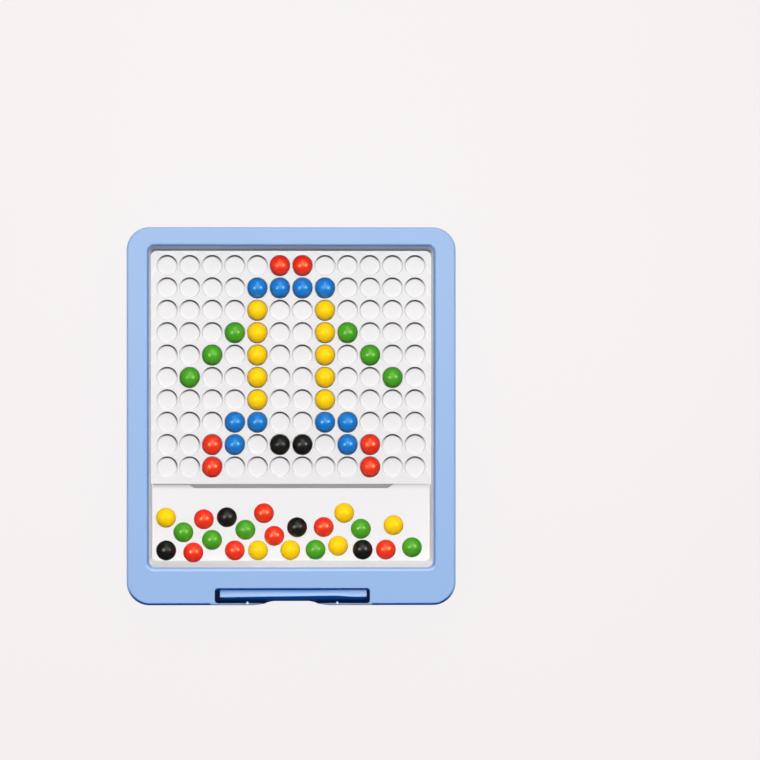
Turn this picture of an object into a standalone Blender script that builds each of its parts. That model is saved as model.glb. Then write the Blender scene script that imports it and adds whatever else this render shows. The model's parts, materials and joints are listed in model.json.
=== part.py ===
# Magnetic drawing board: a shallow tray of loose beads under a clear cover, with a socketed plate
# to draw on, a reservoir below it, and a magnetic pen that lifts out of a pocket in the frame.
# The board lies on its back: +Z is out of its face, +Y is its top, and the origin is the centre
# of its back. All sizes are in metres.

import math

import bmesh
import bpy

# Beads and their grid
BEAD_DIAMETER = 0.0130
BEAD_SEGMENTS = 12
BEAD_RINGS = 8
SOCKET_CLEARANCE = 0.0006
SOCKET_DEPTH = 0.0026
SOCKET_SIDES = 12
COLUMNS = 12
ROWS = 10
COLUMN_WEB = 0.0010
ROW_WEB = 0.0009

# Tray: the plate's margins inside the walls, the reservoir, and how far each wall leans out
SIDE_MARGIN = 0.0031
TOP_MARGIN = 0.0016
STEP_MARGIN = 0.0041
RESERVOIR_ROWS_SHARE = 3.45
SIDE_DRAFT = 0.0022
TOP_DRAFT = 0.0042
BOTTOM_DRAFT = 0.0042
TRAY_WALL = 0.0016
TRAY_FLOOR = 0.0018
TRAY_CORNER_RADIUS = 0.0038
STEP_HEIGHT = 0.0044
FLANGE_REACH = 0.0038
FLANGE_THICKNESS = 0.0014
PLATE_SKIN = 0.0016
CORE_RIB = 0.0020
CORE_COLUMNS = 4
CORE_ROWS = 2
RAMP_RUN = 0.0030
RAMP_TAPER = 0.0040
RAMP_COLUMNS_SHARE = 9.14

# Clear cover over the tray
COVER_THICKNESS = 0.0012
COVER_REACH = 0.0032
BEAD_HEADROOM = 0.0008

# Front frame and back cover
SIDE_BAND = 0.0136
TOP_BAND = 0.0117
BOTTOM_BAND = 0.0237
CORNER_RADIUS = 0.0148
CORNER_STEPS = 8
WINDOW_RADIUS = 0.0044
WINDOW_STEPS = 4
FACE_THICKNESS = 0.0024
FACE_EDGE_RADIUS = 0.0020
WINDOW_EDGE_RADIUS = 0.0018
EDGE_STEPS = 3
SHELL_WALL = 0.0024
SKIRT_WALL = 0.0011
LAP_HEIGHT = 0.0020
BACK_DEPTH = 0.0118
BACK_FLOOR = 0.0020
BACK_EDGE_RADIUS = 0.0015

# Screw bosses and screws
BOSS_INSET = 0.0087
BOSS_RADIUS = 0.0033
BOSS_FOOT_RADIUS = 0.0046
BOSS_JOIN_HEIGHT = 0.0052
SCREW_RADIUS = 0.0013
SCREW_LENGTH = 0.0120
SCREW_POINT = 0.0016
SCREW_HEAD_RADIUS = 0.0026
SCREW_HEAD_HEIGHT = 0.0017
SCREW_HEAD_INSET = 0.0006
SCREW_CROSS_WIDTH = 0.0008
SCREW_CROSS_LENGTH = 0.0030
SCREW_CROSS_DEPTH = 0.0009
ROUND_SIDES = 12

# Pen, its pocket and the finger notch under it
PEN_DIAMETER = 0.0073
PEN_LENGTH = 0.0949
PEN_END_RADIUS = 0.0011
PEN_SIDES = 16
PEN_BORE_RADIUS = 0.0025
PEN_TIP_WALL = 0.0010
PEN_SHIFT = 0.0006
PLUG_HEAD = 0.0030
PLUG_SPIGOT = 0.0060
MAGNET_LENGTH = 0.0100
POCKET_END_GAP = 0.0025
POCKET_SIDE_GAP = 0.0012
POCKET_DEPTH = 0.0085
POCKET_RADIUS = 0.0019
POCKET_STEPS = 3
POCKET_LIP = 0.0013
POCKET_SHIFT = 0.0007
POCKET_WALL = 0.0016
NOTCH_DEPTH = 0.0029
NOTCH_WIDTH = 0.0414
NOTCH_TOP_WIDTH = 0.0213
NOTCH_STEPS = 6
NUB_SPACING = 0.0580
NUB_RADIUS = 0.0008
NUB_DROP = 0.0006
NUB_LENGTH = 0.0030
NUB_SIDES = 8

# Gap between pieces that touch, and how far a cutter runs past what it cuts
GAP = 0.0003
OVERRUN = 0.0010
MERGE = 0.000001

# Sizes that follow from those above
bead_radius = BEAD_DIAMETER / 2
socket_diameter = BEAD_DIAMETER + SOCKET_CLEARANCE
column_pitch = socket_diameter + COLUMN_WEB
row_pitch = socket_diameter + ROW_WEB
grid_width = (COLUMNS - 1) * column_pitch + socket_diameter
grid_height = (ROWS - 1) * row_pitch + socket_diameter
reservoir_height = RESERVOIR_ROWS_SHARE * row_pitch
window_width = grid_width + 2 * (SIDE_MARGIN + SIDE_DRAFT)
window_height = (TOP_DRAFT + TOP_MARGIN + grid_height + STEP_MARGIN + reservoir_height
                 + BOTTOM_DRAFT)
board_width = window_width + 2 * SIDE_BAND
board_height = window_height + TOP_BAND + BOTTOM_BAND

# Places across the face, from the board's centre
board_top = board_height / 2
board_bottom = -board_height / 2
window_top = board_top - TOP_BAND
window_bottom = board_bottom + BOTTOM_BAND
floor_half_width = window_width / 2 - SIDE_DRAFT
floor_top = window_top - TOP_DRAFT
floor_bottom = window_bottom + BOTTOM_DRAFT
first_row = floor_top - TOP_MARGIN - socket_diameter / 2
first_column = -(COLUMNS - 1) * column_pitch / 2
step_line = floor_bottom + reservoir_height
notch_top = board_bottom + NOTCH_DEPTH
pocket_bottom = board_bottom + POCKET_LIP
pocket_width = PEN_DIAMETER + 2 * POCKET_SIDE_GAP
pocket_length = PEN_LENGTH + 2 * POCKET_END_GAP
pocket_middle = pocket_bottom + pocket_width / 2

# Heights above the surface that the board lies on
tray_bottom = BACK_FLOOR + GAP
reservoir_level = tray_bottom + TRAY_FLOOR
plate_level = reservoir_level + STEP_HEIGHT
socket_level = plate_level - SOCKET_DEPTH
cover_bottom = plate_level + BEAD_DIAMETER + BEAD_HEADROOM
tray_top = cover_bottom - GAP
cover_top = cover_bottom + COVER_THICKNESS
face_bottom = cover_top + GAP
face_top = face_bottom + FACE_THICKNESS
split_level = BACK_DEPTH
pocket_floor = face_top - POCKET_DEPTH
pen_level = pocket_floor + GAP + PEN_DIAMETER / 2
socket_bead_level = socket_level + GAP + bead_radius
loose_bead_level = reservoir_level + GAP + bead_radius

COLOURS = {
    "blue_shell": (0.37, 0.55, 0.84),
    "white_tray": (0.88, 0.87, 0.88),
    "clear_sheet": (0.92, 0.94, 0.96),
    "pen_blue": (0.34, 0.52, 0.84),
    "magnet_black": (0.06, 0.06, 0.07),
    "screw_steel": (0.55, 0.56, 0.58),
    "red": (0.80, 0.05, 0.02),
    "blue": (0.01, 0.17, 0.60),
    "yellow": (0.90, 0.64, 0.01),
    "green": (0.08, 0.36, 0.03),
    "black": (0.02, 0.02, 0.02),
}
ROUGHNESS = {"clear_sheet": 0.08, "white_tray": 0.45, "magnet_black": 0.35, "screw_steel": 0.30}
METALLIC = {"screw_steel": 1.0, "magnet_black": 0.25}
PLASTIC_ROUGHNESS = 0.32

# The drawing on the plate: each row of sockets, left to right, top to bottom
DRAWING = (
    ".....rr.....",
    "....bbbb....",
    "....y..y....",
    "...gy..yg...",
    "..g.y..y.g..",
    ".g..y..y..g.",
    "....y..y....",
    "...bb..bb...",
    "..rb.kk.br..",
    "..r......r..",
)
LETTERS = {"r": "red", "b": "blue", "y": "yellow", "g": "green", "k": "black"}

# Loose beads in the reservoir: how many columns they lie from the middle, how many rows above
# the reservoir floor's low edge, and their colour
LOOSE_BEAD_SHARES = (
    (-5.55, 1.94, "yellow"),
    (-4.78, 1.29, "green"),
    (-3.51, 0.95, "green"),
    (-3.87, 1.87, "red"),
    (-5.54, 0.48, "black"),
    (-2.85, 1.96, "black"),
    (-2.03, 1.40, "green"),
    (-1.47, 0.48, "yellow"),
    (-0.75, 1.13, "red"),
    (0.26, 1.51, "black"),
    (1.44, 1.52, "red"),
    (2.08, 0.68, "yellow"),
    (3.09, 1.44, "green"),
    (4.54, 1.60, "yellow"),
    (5.36, 0.61, "green"),
)


def empty_scene():
    for old in list(bpy.data.objects):
        bpy.data.objects.remove(old, do_unlink=True)


def material(slot):
    found = bpy.data.materials.get(slot)
    if found:
        return found
    made = bpy.data.materials.new(slot)
    made.use_nodes = True
    shader = made.node_tree.nodes["Principled BSDF"]
    shader.inputs["Base Color"].default_value = (*COLOURS[slot], 1.0)
    shader.inputs["Roughness"].default_value = ROUGHNESS.get(slot, PLASTIC_ROUGHNESS)
    shader.inputs["Metallic"].default_value = METALLIC.get(slot, 0.0)
    if slot == "clear_sheet":
        shader.inputs["Transmission Weight"].default_value = 1.0
    return made


def rounded_rectangle(left, right, bottom, top, radius, steps):
    """Points anticlockwise, from the right end of the bottom edge."""
    points = []
    corners = ((right, bottom, -90), (right, top, 0), (left, top, 90), (left, bottom, 180))
    for x, y, start in corners:
        cx = x - math.copysign(radius, x - (left + right) / 2)
        cy = y - math.copysign(radius, y - (bottom + top) / 2)
        for i in range(steps + 1):
            angle = math.radians(start + 90 * i / steps)
            points.append((cx + radius * math.cos(angle), cy + radius * math.sin(angle)))
    return points


def circle(x, y, radius, sides):
    angles = [2 * math.pi * (i + 0.5) / sides for i in range(sides)]
    return [(x + radius * math.cos(a), y + radius * math.sin(a)) for a in angles]


def grown(points, distance):
    """The outline moved outwards by distance, or inwards where it is negative."""
    moved = []
    for i, (x, y) in enumerate(points):
        normals = []
        for (ax, ay), (bx, by) in ((points[i - 1], (x, y)), ((x, y), points[(i + 1) % len(points)])):
            length = math.hypot(bx - ax, by - ay)
            normals.append(((by - ay) / length, (ax - bx) / length))
        (nx, ny), (mx, my) = normals
        scale = distance / (1 + nx * mx + ny * my)
        moved.append((x + (nx + mx) * scale, y + (ny + my) * scale))
    return moved


def board_outline():
    """The board's outer edge, with the finger notch in the middle of its bottom edge."""
    points = rounded_rectangle(-board_width / 2, board_width / 2, board_bottom, board_top,
                               CORNER_RADIUS, CORNER_STEPS)
    rise = []
    for i in range(NOTCH_STEPS + 1):
        t = i / NOTCH_STEPS
        x = (NOTCH_WIDTH + (NOTCH_TOP_WIDTH - NOTCH_WIDTH) * t) / 2
        rise.append((x, board_bottom + NOTCH_DEPTH * t * t * (3 - 2 * t)))
    return points + [(-x, y) for x, y in rise] + rise[::-1]


def new_object(name, mesh, slot):
    made = bpy.data.objects.new(name, mesh)
    bpy.context.scene.collection.objects.link(made)
    if slot:
        mesh.materials.append(material(slot))
    return made


def add_stack(bm, sections):
    """A closed solid through outlines with equal numbers of points, each given with its height.
    Points that meet are merged, so a side can run out to nothing."""
    rings = [[bm.verts.new((x, y, z)) for x, y in points] for points, z in sections]
    bm.faces.new(rings[0][::-1])
    bm.faces.new(rings[-1])
    for low, high in zip(rings, rings[1:]):
        for i in range(len(low)):
            bm.faces.new((low[i - 1], low[i], high[i], high[i - 1]))
    bmesh.ops.remove_doubles(bm, verts=[v for ring in rings for v in ring], dist=MERGE)


def stack(name, sections, slot=None):
    bm = bmesh.new()
    add_stack(bm, sections)
    mesh = bpy.data.meshes.new(name)
    bm.to_mesh(mesh)
    bm.free()
    return new_object(name, mesh, slot)


def many(name, solids, slot=None):
    """Several separate solids in one mesh, for a cutter that repeats."""
    bm = bmesh.new()
    for sections in solids:
        add_stack(bm, sections)
    mesh = bpy.data.meshes.new(name)
    bm.to_mesh(mesh)
    bm.free()
    return new_object(name, mesh, slot)


def box(left, right, bottom, top, low, high):
    points = [(left, bottom), (right, bottom), (right, top), (left, top)]
    return [(points, low), (points, high)]


def boolean(target, tool, operation="DIFFERENCE"):
    tool.hide_render = True
    tool.display_type = "WIRE"
    step = target.modifiers.new(tool.name, "BOOLEAN")
    step.operation = operation
    step.solver = "EXACT"
    step.object = tool


def soften(target):
    """Smooth shading that keeps the edges sharper than 35 degrees."""
    target.data.shade_smooth()
    target.data.set_sharp_from_angle(angle=math.radians(35))


def quarter_round(points, radius, height, outwards):
    """Sections that turn an outline over a rounded edge whose top is at height."""
    sections = []
    for i in range(EDGE_STEPS + 1):
        angle = math.radians(90 * i / EDGE_STEPS)
        aside = radius * (1 - math.cos(angle))
        up = height - radius * (1 - math.sin(angle))
        sections.append((grown(points, aside if outwards else -aside), up))
    return sections


def boss_places():
    x = board_width / 2 - BOSS_INSET
    y = board_top - BOSS_INSET
    return [(-x, y), (x, y), (-x, -y), (x, -y)]


def boss_clearance(name, low, high):
    """A cutter that keeps a piece clear of the frame's screw bosses between two heights."""
    return many(name, [[(circle(x, y, BOSS_RADIUS + GAP, ROUND_SIDES), height)
                        for height in (low, high)] for x, y in boss_places()])


def window_outline():
    return rounded_rectangle(-window_width / 2, window_width / 2, window_bottom, window_top,
                             WINDOW_RADIUS, WINDOW_STEPS)


def pocket_outline():
    return rounded_rectangle(POCKET_SHIFT - pocket_length / 2, POCKET_SHIFT + pocket_length / 2,
                             pocket_bottom, pocket_bottom + pocket_width,
                             POCKET_RADIUS, POCKET_STEPS)


def front_frame():
    outline = board_outline()
    frame = stack("front_frame",
                  [(outline, split_level)]
                  + quarter_round(outline, FACE_EDGE_RADIUS, face_top, outwards=False),
                  "blue_shell")
    lap_top = split_level + LAP_HEIGHT + GAP
    skirt, inside = grown(outline, -SKIRT_WALL), grown(outline, -SHELL_WALL)
    hollow = stack("frame_hollow", [(skirt, split_level - OVERRUN), (skirt, lap_top),
                                    (inside, lap_top), (inside, face_bottom)])
    trough = box(POCKET_SHIFT - pocket_length / 2 - POCKET_WALL,
                 POCKET_SHIFT + pocket_length / 2 + POCKET_WALL,
                 board_bottom - OVERRUN, pocket_bottom + pocket_width + POCKET_WALL,
                 pocket_floor - POCKET_WALL, face_bottom + OVERRUN)
    bosses = [[(circle(x, y, BOSS_RADIUS, ROUND_SIDES), BOSS_JOIN_HEIGHT),
               (circle(x, y, BOSS_RADIUS, ROUND_SIDES), face_bottom + OVERRUN)]
              for x, y in boss_places()]
    boolean(hollow, many("frame_left_solid", [trough] + bosses))
    boolean(frame, hollow)

    window = window_outline()
    edge = quarter_round(window, WINDOW_EDGE_RADIUS, face_top, outwards=True)
    above = (edge[-1][0], face_top + OVERRUN)
    boolean(frame, stack("window_opening", [(window, face_bottom - OVERRUN)] + edge + [above]))

    pocket = pocket_outline()
    boolean(frame, stack("pen_pocket", [(pocket, pocket_floor), (pocket, face_top + OVERRUN)]))
    pilot = SCREW_RADIUS + GAP
    depth = SCREW_HEAD_INSET + SCREW_HEAD_HEIGHT + SCREW_LENGTH + SCREW_POINT
    boolean(frame, many("pilot_holes",
                        [[(circle(x, y, pilot, ROUND_SIDES), BOSS_JOIN_HEIGHT - OVERRUN),
                          (circle(x, y, pilot, ROUND_SIDES), depth)] for x, y in boss_places()]))
    nub_top = face_top - NUB_DROP
    boolean(frame, many("pen_nubs",
                        [[(circle(POCKET_SHIFT + side * NUB_SPACING / 2, pocket_bottom, NUB_RADIUS,
                                  NUB_SIDES), height) for height in (nub_top - NUB_LENGTH, nub_top)]
                         for side in (-1, 1)]), "UNION")
    soften(frame)
    return frame


def back_cover():
    outline = board_outline()
    tongue = grown(outline, -SKIRT_WALL - GAP)
    edge = [(points, -height) for points, height in
            quarter_round(outline, BACK_EDGE_RADIUS, 0.0, outwards=False)]
    cover = stack("back_cover",
                  edge[::-1] + [(outline, split_level - GAP), (tongue, split_level - GAP),
                                (tongue, split_level + LAP_HEIGHT)],
                  "blue_shell")
    inside = grown(outline, -SHELL_WALL)
    hollow = stack("back_hollow", [(inside, BACK_FLOOR),
                                   (inside, split_level + LAP_HEIGHT + OVERRUN)])
    posts = [[(circle(x, y, BOSS_FOOT_RADIUS, ROUND_SIDES), BACK_FLOOR - OVERRUN),
              (circle(x, y, BOSS_FOOT_RADIUS, ROUND_SIDES), BOSS_JOIN_HEIGHT - GAP)]
             for x, y in boss_places()]
    boolean(hollow, many("back_posts", posts))
    boolean(cover, hollow)
    boolean(cover, boss_clearance("tongue_notches", BOSS_JOIN_HEIGHT - GAP, face_top))
    head_top = SCREW_HEAD_INSET + SCREW_HEAD_HEIGHT + GAP
    head_hole, shank_hole = SCREW_HEAD_RADIUS + GAP, SCREW_RADIUS + GAP
    boolean(cover, many("head_recesses", [[(circle(x, y, head_hole, ROUND_SIDES), -OVERRUN),
                                           (circle(x, y, head_hole, ROUND_SIDES), head_top)]
                                          for x, y in boss_places()]))
    boolean(cover, many("screw_holes", [[(circle(x, y, shank_hole, ROUND_SIDES), head_top - OVERRUN),
                                         (circle(x, y, shank_hole, ROUND_SIDES), BOSS_JOIN_HEIGHT)]
                                        for x, y in boss_places()]))
    soften(cover)
    return cover


def socket_places():
    return [(first_column + column * column_pitch, first_row - row * row_pitch)
            for row in range(ROWS) for column in range(COLUMNS)]


def plate_and_ramp():
    """The raised plate as a block, with the ramp that leads down from its edge to the reservoir."""
    top_half = RAMP_COLUMNS_SHARE * column_pitch / 2
    below = reservoir_level - OVERRUN
    falls = (plate_level - below) / STEP_HEIGHT
    low_half, foot = top_half - RAMP_TAPER * falls, step_line - RAMP_RUN * falls
    left, right = (-board_width / 2, step_line), (board_width / 2, step_line)
    behind = [(board_width / 2, board_top), (-board_width / 2, board_top)]
    low = [(-top_half, step_line), (-low_half, foot), (low_half, foot), (top_half, step_line)]
    high = [low[0], low[0], low[3], low[3]]
    return [([left] + low + [right] + behind, below),
            ([left] + high + [right] + behind, plate_level)]


def dot_board():
    mouth = window_outline()
    floor = rounded_rectangle(-floor_half_width, floor_half_width, floor_bottom, floor_top,
                              TRAY_CORNER_RADIUS, WINDOW_STEPS)
    under_flange = tray_top - FLANGE_THICKNESS
    flange = grown(mouth, FLANGE_REACH)
    board = stack("dot_board",
                  [(grown(floor, TRAY_WALL), tray_bottom), (grown(floor, TRAY_WALL), reservoir_level),
                   (grown(mouth, TRAY_WALL), under_flange), (flange, under_flange),
                   (flange, tray_top)],
                  "white_tray")
    cavity = stack("tray_cavity", [(floor, reservoir_level), (mouth, tray_top),
                                   (mouth, tray_top + OVERRUN)])
    boolean(cavity, stack("plate_block", plate_and_ramp()))
    boolean(board, cavity)
    sockets = [[(circle(x, y, socket_diameter / 2, SOCKET_SIDES), socket_level),
                (circle(x, y, socket_diameter / 2, SOCKET_SIDES), plate_level + OVERRUN)]
               for x, y in socket_places()]
    boolean(board, many("sockets", sockets))
    core_left, core_low = -floor_half_width, step_line
    core_wide = (2 * floor_half_width - CORE_RIB) / CORE_COLUMNS
    core_tall = (floor_top - step_line - CORE_RIB) / CORE_ROWS
    cores = [box(core_left + CORE_RIB + i * core_wide, core_left + (i + 1) * core_wide,
                 core_low + CORE_RIB + j * core_tall, core_low + (j + 1) * core_tall,
                 tray_bottom - OVERRUN, socket_level - PLATE_SKIN)
             for i in range(CORE_COLUMNS) for j in range(CORE_ROWS)]
    boolean(board, many("underside_cores", cores))
    boolean(board, boss_clearance("flange_notches", BOSS_JOIN_HEIGHT, face_top))
    soften(board)
    return board


def clear_cover():
    outline = grown(window_outline(), COVER_REACH)
    cover = stack("clear_cover", [(outline, cover_bottom), (outline, cover_top)], "clear_sheet")
    boolean(cover, boss_clearance("cover_notches", BOSS_JOIN_HEIGHT, face_top))
    return cover


def turned(name, profile, slot, sides):
    """A round solid along +X from a profile of (x, radius), turned about its own axis."""
    bm = bmesh.new()
    rings = []
    for x, radius in profile:
        points = circle(0.0, 0.0, radius, sides)
        rings.append([bm.verts.new((x, y, z)) for y, z in points])
    bm.faces.new(rings[0][::-1])
    bm.faces.new(rings[-1])
    for near, far in zip(rings, rings[1:]):
        for i in range(sides):
            bm.faces.new((near[i - 1], near[i], far[i], far[i - 1]))
    mesh = bpy.data.meshes.new(name)
    bm.to_mesh(mesh)
    bm.free()
    made = new_object(name, mesh, slot)
    soften(made)
    return made


def pen():
    """Barrel, magnet and end plug on one empty, whose place is the pen's own axis."""
    holder = bpy.data.objects.new("pen_axis", None)
    bpy.context.scene.collection.objects.link(holder)
    holder.location = (POCKET_SHIFT + PEN_SHIFT, pocket_middle, pen_level)
    radius, tip = PEN_DIAMETER / 2, -PEN_LENGTH / 2
    joint = PEN_LENGTH / 2 - PLUG_HEAD
    rounding = [math.radians(90 * i / EDGE_STEPS) for i in range(EDGE_STEPS + 1)]
    tip_profile = [(tip + PEN_END_RADIUS * (1 - math.sin(a)),
                    radius - PEN_END_RADIUS * (1 - math.cos(a))) for a in rounding[::-1]]
    barrel = turned("pen_barrel", tip_profile + [(joint - GAP, radius)], "pen_blue", PEN_SIDES)
    bore_start = tip + PEN_TIP_WALL
    bore = turned("pen_bore", [(bore_start, PEN_BORE_RADIUS), (joint, PEN_BORE_RADIUS)], None,
                  PEN_SIDES)
    boolean(barrel, bore)
    inner = PEN_BORE_RADIUS - GAP
    magnet_start = bore_start + GAP
    magnet = turned("pen_magnet", [(magnet_start, inner), (magnet_start + MAGNET_LENGTH, inner)],
                    "magnet_black", ROUND_SIDES)
    plug_profile = [(-x, r) for x, r in tip_profile[::-1]]
    plug = turned("pen_plug", [(joint - PLUG_SPIGOT, inner), (joint, inner), (joint, radius)]
                  + plug_profile, "pen_blue", PEN_SIDES)
    for piece in (barrel, bore, magnet, plug):
        piece.parent = holder


def bead(name, x, y, z, colour, ball):
    mesh = ball.copy()
    mesh.materials.clear()
    made = new_object(name, mesh, colour)
    made.location = (x, y, z)


def beads():
    bm = bmesh.new()
    bmesh.ops.create_uvsphere(bm, u_segments=BEAD_SEGMENTS, v_segments=BEAD_RINGS,
                              radius=bead_radius)
    ball = bpy.data.meshes.new("bead_shape")
    bm.to_mesh(ball)
    bm.free()
    ball.shade_smooth()
    for row, line in enumerate(DRAWING):
        for column, letter in enumerate(line):
            if letter in LETTERS:
                colour = LETTERS[letter]
                x, y = first_column + column * column_pitch, first_row - row * row_pitch
                bead(f"bead_row{row + 1:02d}_col{column + 1:02d}_{colour}", x, y,
                     socket_bead_level, colour, ball)
    for number, (across, up, colour) in enumerate(LOOSE_BEAD_SHARES, 1):
        bead(f"loose_bead_{number:02d}_{colour}", across * column_pitch,
             floor_bottom + up * row_pitch, loose_bead_level, colour, ball)


def screws():
    seat = SCREW_HEAD_INSET + SCREW_HEAD_HEIGHT
    end = seat + SCREW_LENGTH
    for number, (x, y) in enumerate(boss_places(), 1):
        profile = [(SCREW_HEAD_RADIUS - GAP, SCREW_HEAD_INSET),
                   (SCREW_HEAD_RADIUS, SCREW_HEAD_INSET + GAP), (SCREW_HEAD_RADIUS, seat),
                   (SCREW_RADIUS, seat), (SCREW_RADIUS, end - SCREW_POINT),
                   (SCREW_RADIUS - GAP, end)]
        screw = stack(f"screw_{number}",
                      [(circle(0.0, 0.0, radius, ROUND_SIDES), height) for radius, height in profile],
                      "screw_steel")
        half, wide = SCREW_CROSS_LENGTH / 2, SCREW_CROSS_WIDTH / 2
        low, high = -OVERRUN, SCREW_HEAD_INSET + SCREW_CROSS_DEPTH
        across = stack(f"screw_cross_{number}", [([(-half, -wide), (-wide, -wide), (-wide, -half),
                                                   (wide, -half), (wide, -wide), (half, -wide),
                                                   (half, wide), (wide, wide), (wide, half),
                                                   (-wide, half), (-wide, wide), (-half, wide)], z)
                                                 for z in (low, high)])
        boolean(screw, across)
        soften(screw)
        for piece in (screw, across):
            piece.location = (x, y, 0.0)


empty_scene()
front_frame()
clear_cover()
dot_board()
back_cover()
pen()
beads()
screws()
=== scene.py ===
# %% [markdown]
# # A magnetic drawing board
# The real toy is a flat case of light blue plastic, about the size of a sheet of paper. A white
# moulded tray lies inside it, with a plate of round sockets above and a shallow reservoir below.
# Coloured steel-cored beads roll about in the tray under a clear cover, and a pen with a magnet in
# its tip drags them into the sockets. This lesson dresses the measured model of that toy: nearly
# every piece is modelled again with finer edges, and all get a finish and are lit as in a studio.

# %% Load the measured model
import json
import math
import random
from contextlib import contextmanager

import bmesh
import bpy
from mathutils import Euler, Matrix, Vector


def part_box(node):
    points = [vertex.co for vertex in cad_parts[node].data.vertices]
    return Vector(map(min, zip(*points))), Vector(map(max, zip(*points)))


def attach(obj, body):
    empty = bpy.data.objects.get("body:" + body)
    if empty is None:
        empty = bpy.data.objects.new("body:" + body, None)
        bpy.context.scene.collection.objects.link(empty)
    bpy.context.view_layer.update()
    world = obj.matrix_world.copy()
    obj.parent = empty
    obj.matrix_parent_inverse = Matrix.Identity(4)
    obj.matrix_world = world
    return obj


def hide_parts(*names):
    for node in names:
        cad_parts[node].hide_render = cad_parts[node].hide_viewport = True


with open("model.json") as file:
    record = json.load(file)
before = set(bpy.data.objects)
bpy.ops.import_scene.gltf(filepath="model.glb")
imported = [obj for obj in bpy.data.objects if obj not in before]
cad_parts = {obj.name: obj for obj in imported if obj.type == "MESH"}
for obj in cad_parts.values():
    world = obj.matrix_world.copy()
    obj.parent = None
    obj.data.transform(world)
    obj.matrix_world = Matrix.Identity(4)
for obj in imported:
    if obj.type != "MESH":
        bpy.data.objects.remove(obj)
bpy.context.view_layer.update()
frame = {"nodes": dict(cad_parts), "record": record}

BODY_OF = {node: body for body, nodes in frame["record"]["behaviour"]["bodies"].items()
           for node in nodes}

# %% [markdown]
# ## Sizes
# Blender works in metres here, so a size in millimetres is written as a number times MM. The
# outer corners, the levels and the bead places are read from the measured model. What the model's
# boxes can't tell, such as radii and wall thicknesses, is named once below.

# %% Levels and outlines
MM = 0.001
GAP = 0.3 * MM
OVERRUN = 1.0 * MM

FACE_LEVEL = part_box("front_frame")[1].z
BOSS_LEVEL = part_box("front_frame")[0].z
HALF_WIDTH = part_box("front_frame")[1].x
HALF_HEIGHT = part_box("front_frame")[1].y
TRAY_LOW, TRAY_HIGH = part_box("dot_board")

SIDE_BAND = 13.6 * MM
TOP_BAND = 11.7 * MM
BOTTOM_BAND = 23.7 * MM
CORNER_RADIUS = 14.8 * MM
WINDOW_RADIUS = 4.4 * MM
FACE_THICKNESS = 2.4 * MM
SHELL_WALL = 2.4 * MM
SKIRT_WALL = 1.1 * MM
LAP_HEIGHT = 2.0 * MM
SPLIT_LEVEL = 11.8 * MM
BACK_FLOOR = 2.0 * MM

WINDOW_LOW = Vector((-HALF_WIDTH + SIDE_BAND, -HALF_HEIGHT + BOTTOM_BAND))
WINDOW_HIGH = Vector((HALF_WIDTH - SIDE_BAND, HALF_HEIGHT - TOP_BAND))
FACE_UNDERSIDE = FACE_LEVEL - FACE_THICKNESS
print("board:", [round(2 * size / MM, 1) for size in (HALF_WIDTH, HALF_HEIGHT, FACE_LEVEL / 2)])

# %% Bead places from the model
BEAD_NODES = sorted(node for node in frame["nodes"] if "bead" in node)


def middle_of(node):
    """The centre of a node's box."""
    low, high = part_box(node)
    return (low + high) / 2


COLUMNS, ROWS = 12, 10
FIRST_BEAD_COLUMN = 6
first_bead, next_bead = middle_of("bead_row01_col06_red"), middle_of("bead_row01_col07_red")
last_row_bead = middle_of("bead_row10_col03_red")
COLUMN_PITCH = next_bead.x - first_bead.x
ROW_PITCH = (first_bead.y - last_row_bead.y) / (ROWS - 1)
BEAD_RADIUS = (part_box("bead_row01_col06_red")[1].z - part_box("bead_row01_col06_red")[0].z) / 2
FIRST_SOCKET = Vector((first_bead.x - (FIRST_BEAD_COLUMN - 1) * COLUMN_PITCH, first_bead.y))
SOCKET_LEVEL = first_bead.z - BEAD_RADIUS - GAP
LOOSE_LEVEL = middle_of("loose_bead_01_yellow").z
FLOOR_LEVEL = LOOSE_LEVEL - BEAD_RADIUS - GAP
print("pitch in mm:", round(COLUMN_PITCH / MM, 2), round(ROW_PITCH / MM, 2))

# %% [markdown]
# ## The camera
# The photograph looks down on the board from far off, with the top of the board up, so the camera
# has a long lens. The board doesn't lie in the middle of the picture: the camera aims at the point
# beside it that does. It stands over a place a little to the left of the board's middle, as the
# walls round the beads show, and leans slightly to the right.

# %% Camera
MM_PER_PIXEL = 0.6444
PICTURE_SIDE = 760
BOARD_PIXEL = (291.3, 416.25)
CAMERA_DISTANCE = 3.0
CAMERA_LEFT = 0.02
SENSOR_WIDTH = 36.0
CLIP_END = 10.0

picture_width = PICTURE_SIDE * MM_PER_PIXEL * MM
camera_data = bpy.data.cameras.new("studio_camera")
camera_data.sensor_width = SENSOR_WIDTH
camera_data.lens = SENSOR_WIDTH * CAMERA_DISTANCE / picture_width
camera_data.clip_end = CLIP_END
camera = bpy.data.objects.new("studio_camera", camera_data)
bpy.context.scene.collection.objects.link(camera)
picture_middle = Vector(((PICTURE_SIDE / 2 - BOARD_PIXEL[0]) * MM_PER_PIXEL * MM,
                         (BOARD_PIXEL[1] - PICTURE_SIDE / 2) * MM_PER_PIXEL * MM, FACE_LEVEL))
camera.location = (-CAMERA_LEFT, picture_middle.y, FACE_LEVEL + CAMERA_DISTANCE)
lean = math.atan2(picture_middle.x + CAMERA_LEFT, CAMERA_DISTANCE)
camera.rotation_euler = (0.0, -lean, 0.0)
bpy.context.scene.camera = camera
print("lens:", round(camera_data.lens, 1), "mm")

# %% [markdown]
# ## Modelling helpers
# An operator acts on whatever is selected. These helpers deselect everything, pick one piece, open
# it in edit mode, and choose its faces or edges by where they lie or which way they look.

# %% Pick and edit
TINY = 0.01 * MM
WELD = 0.001 * MM
SMOOTH_ANGLE = 38
NORMAL_WEIGHT = 80


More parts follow.
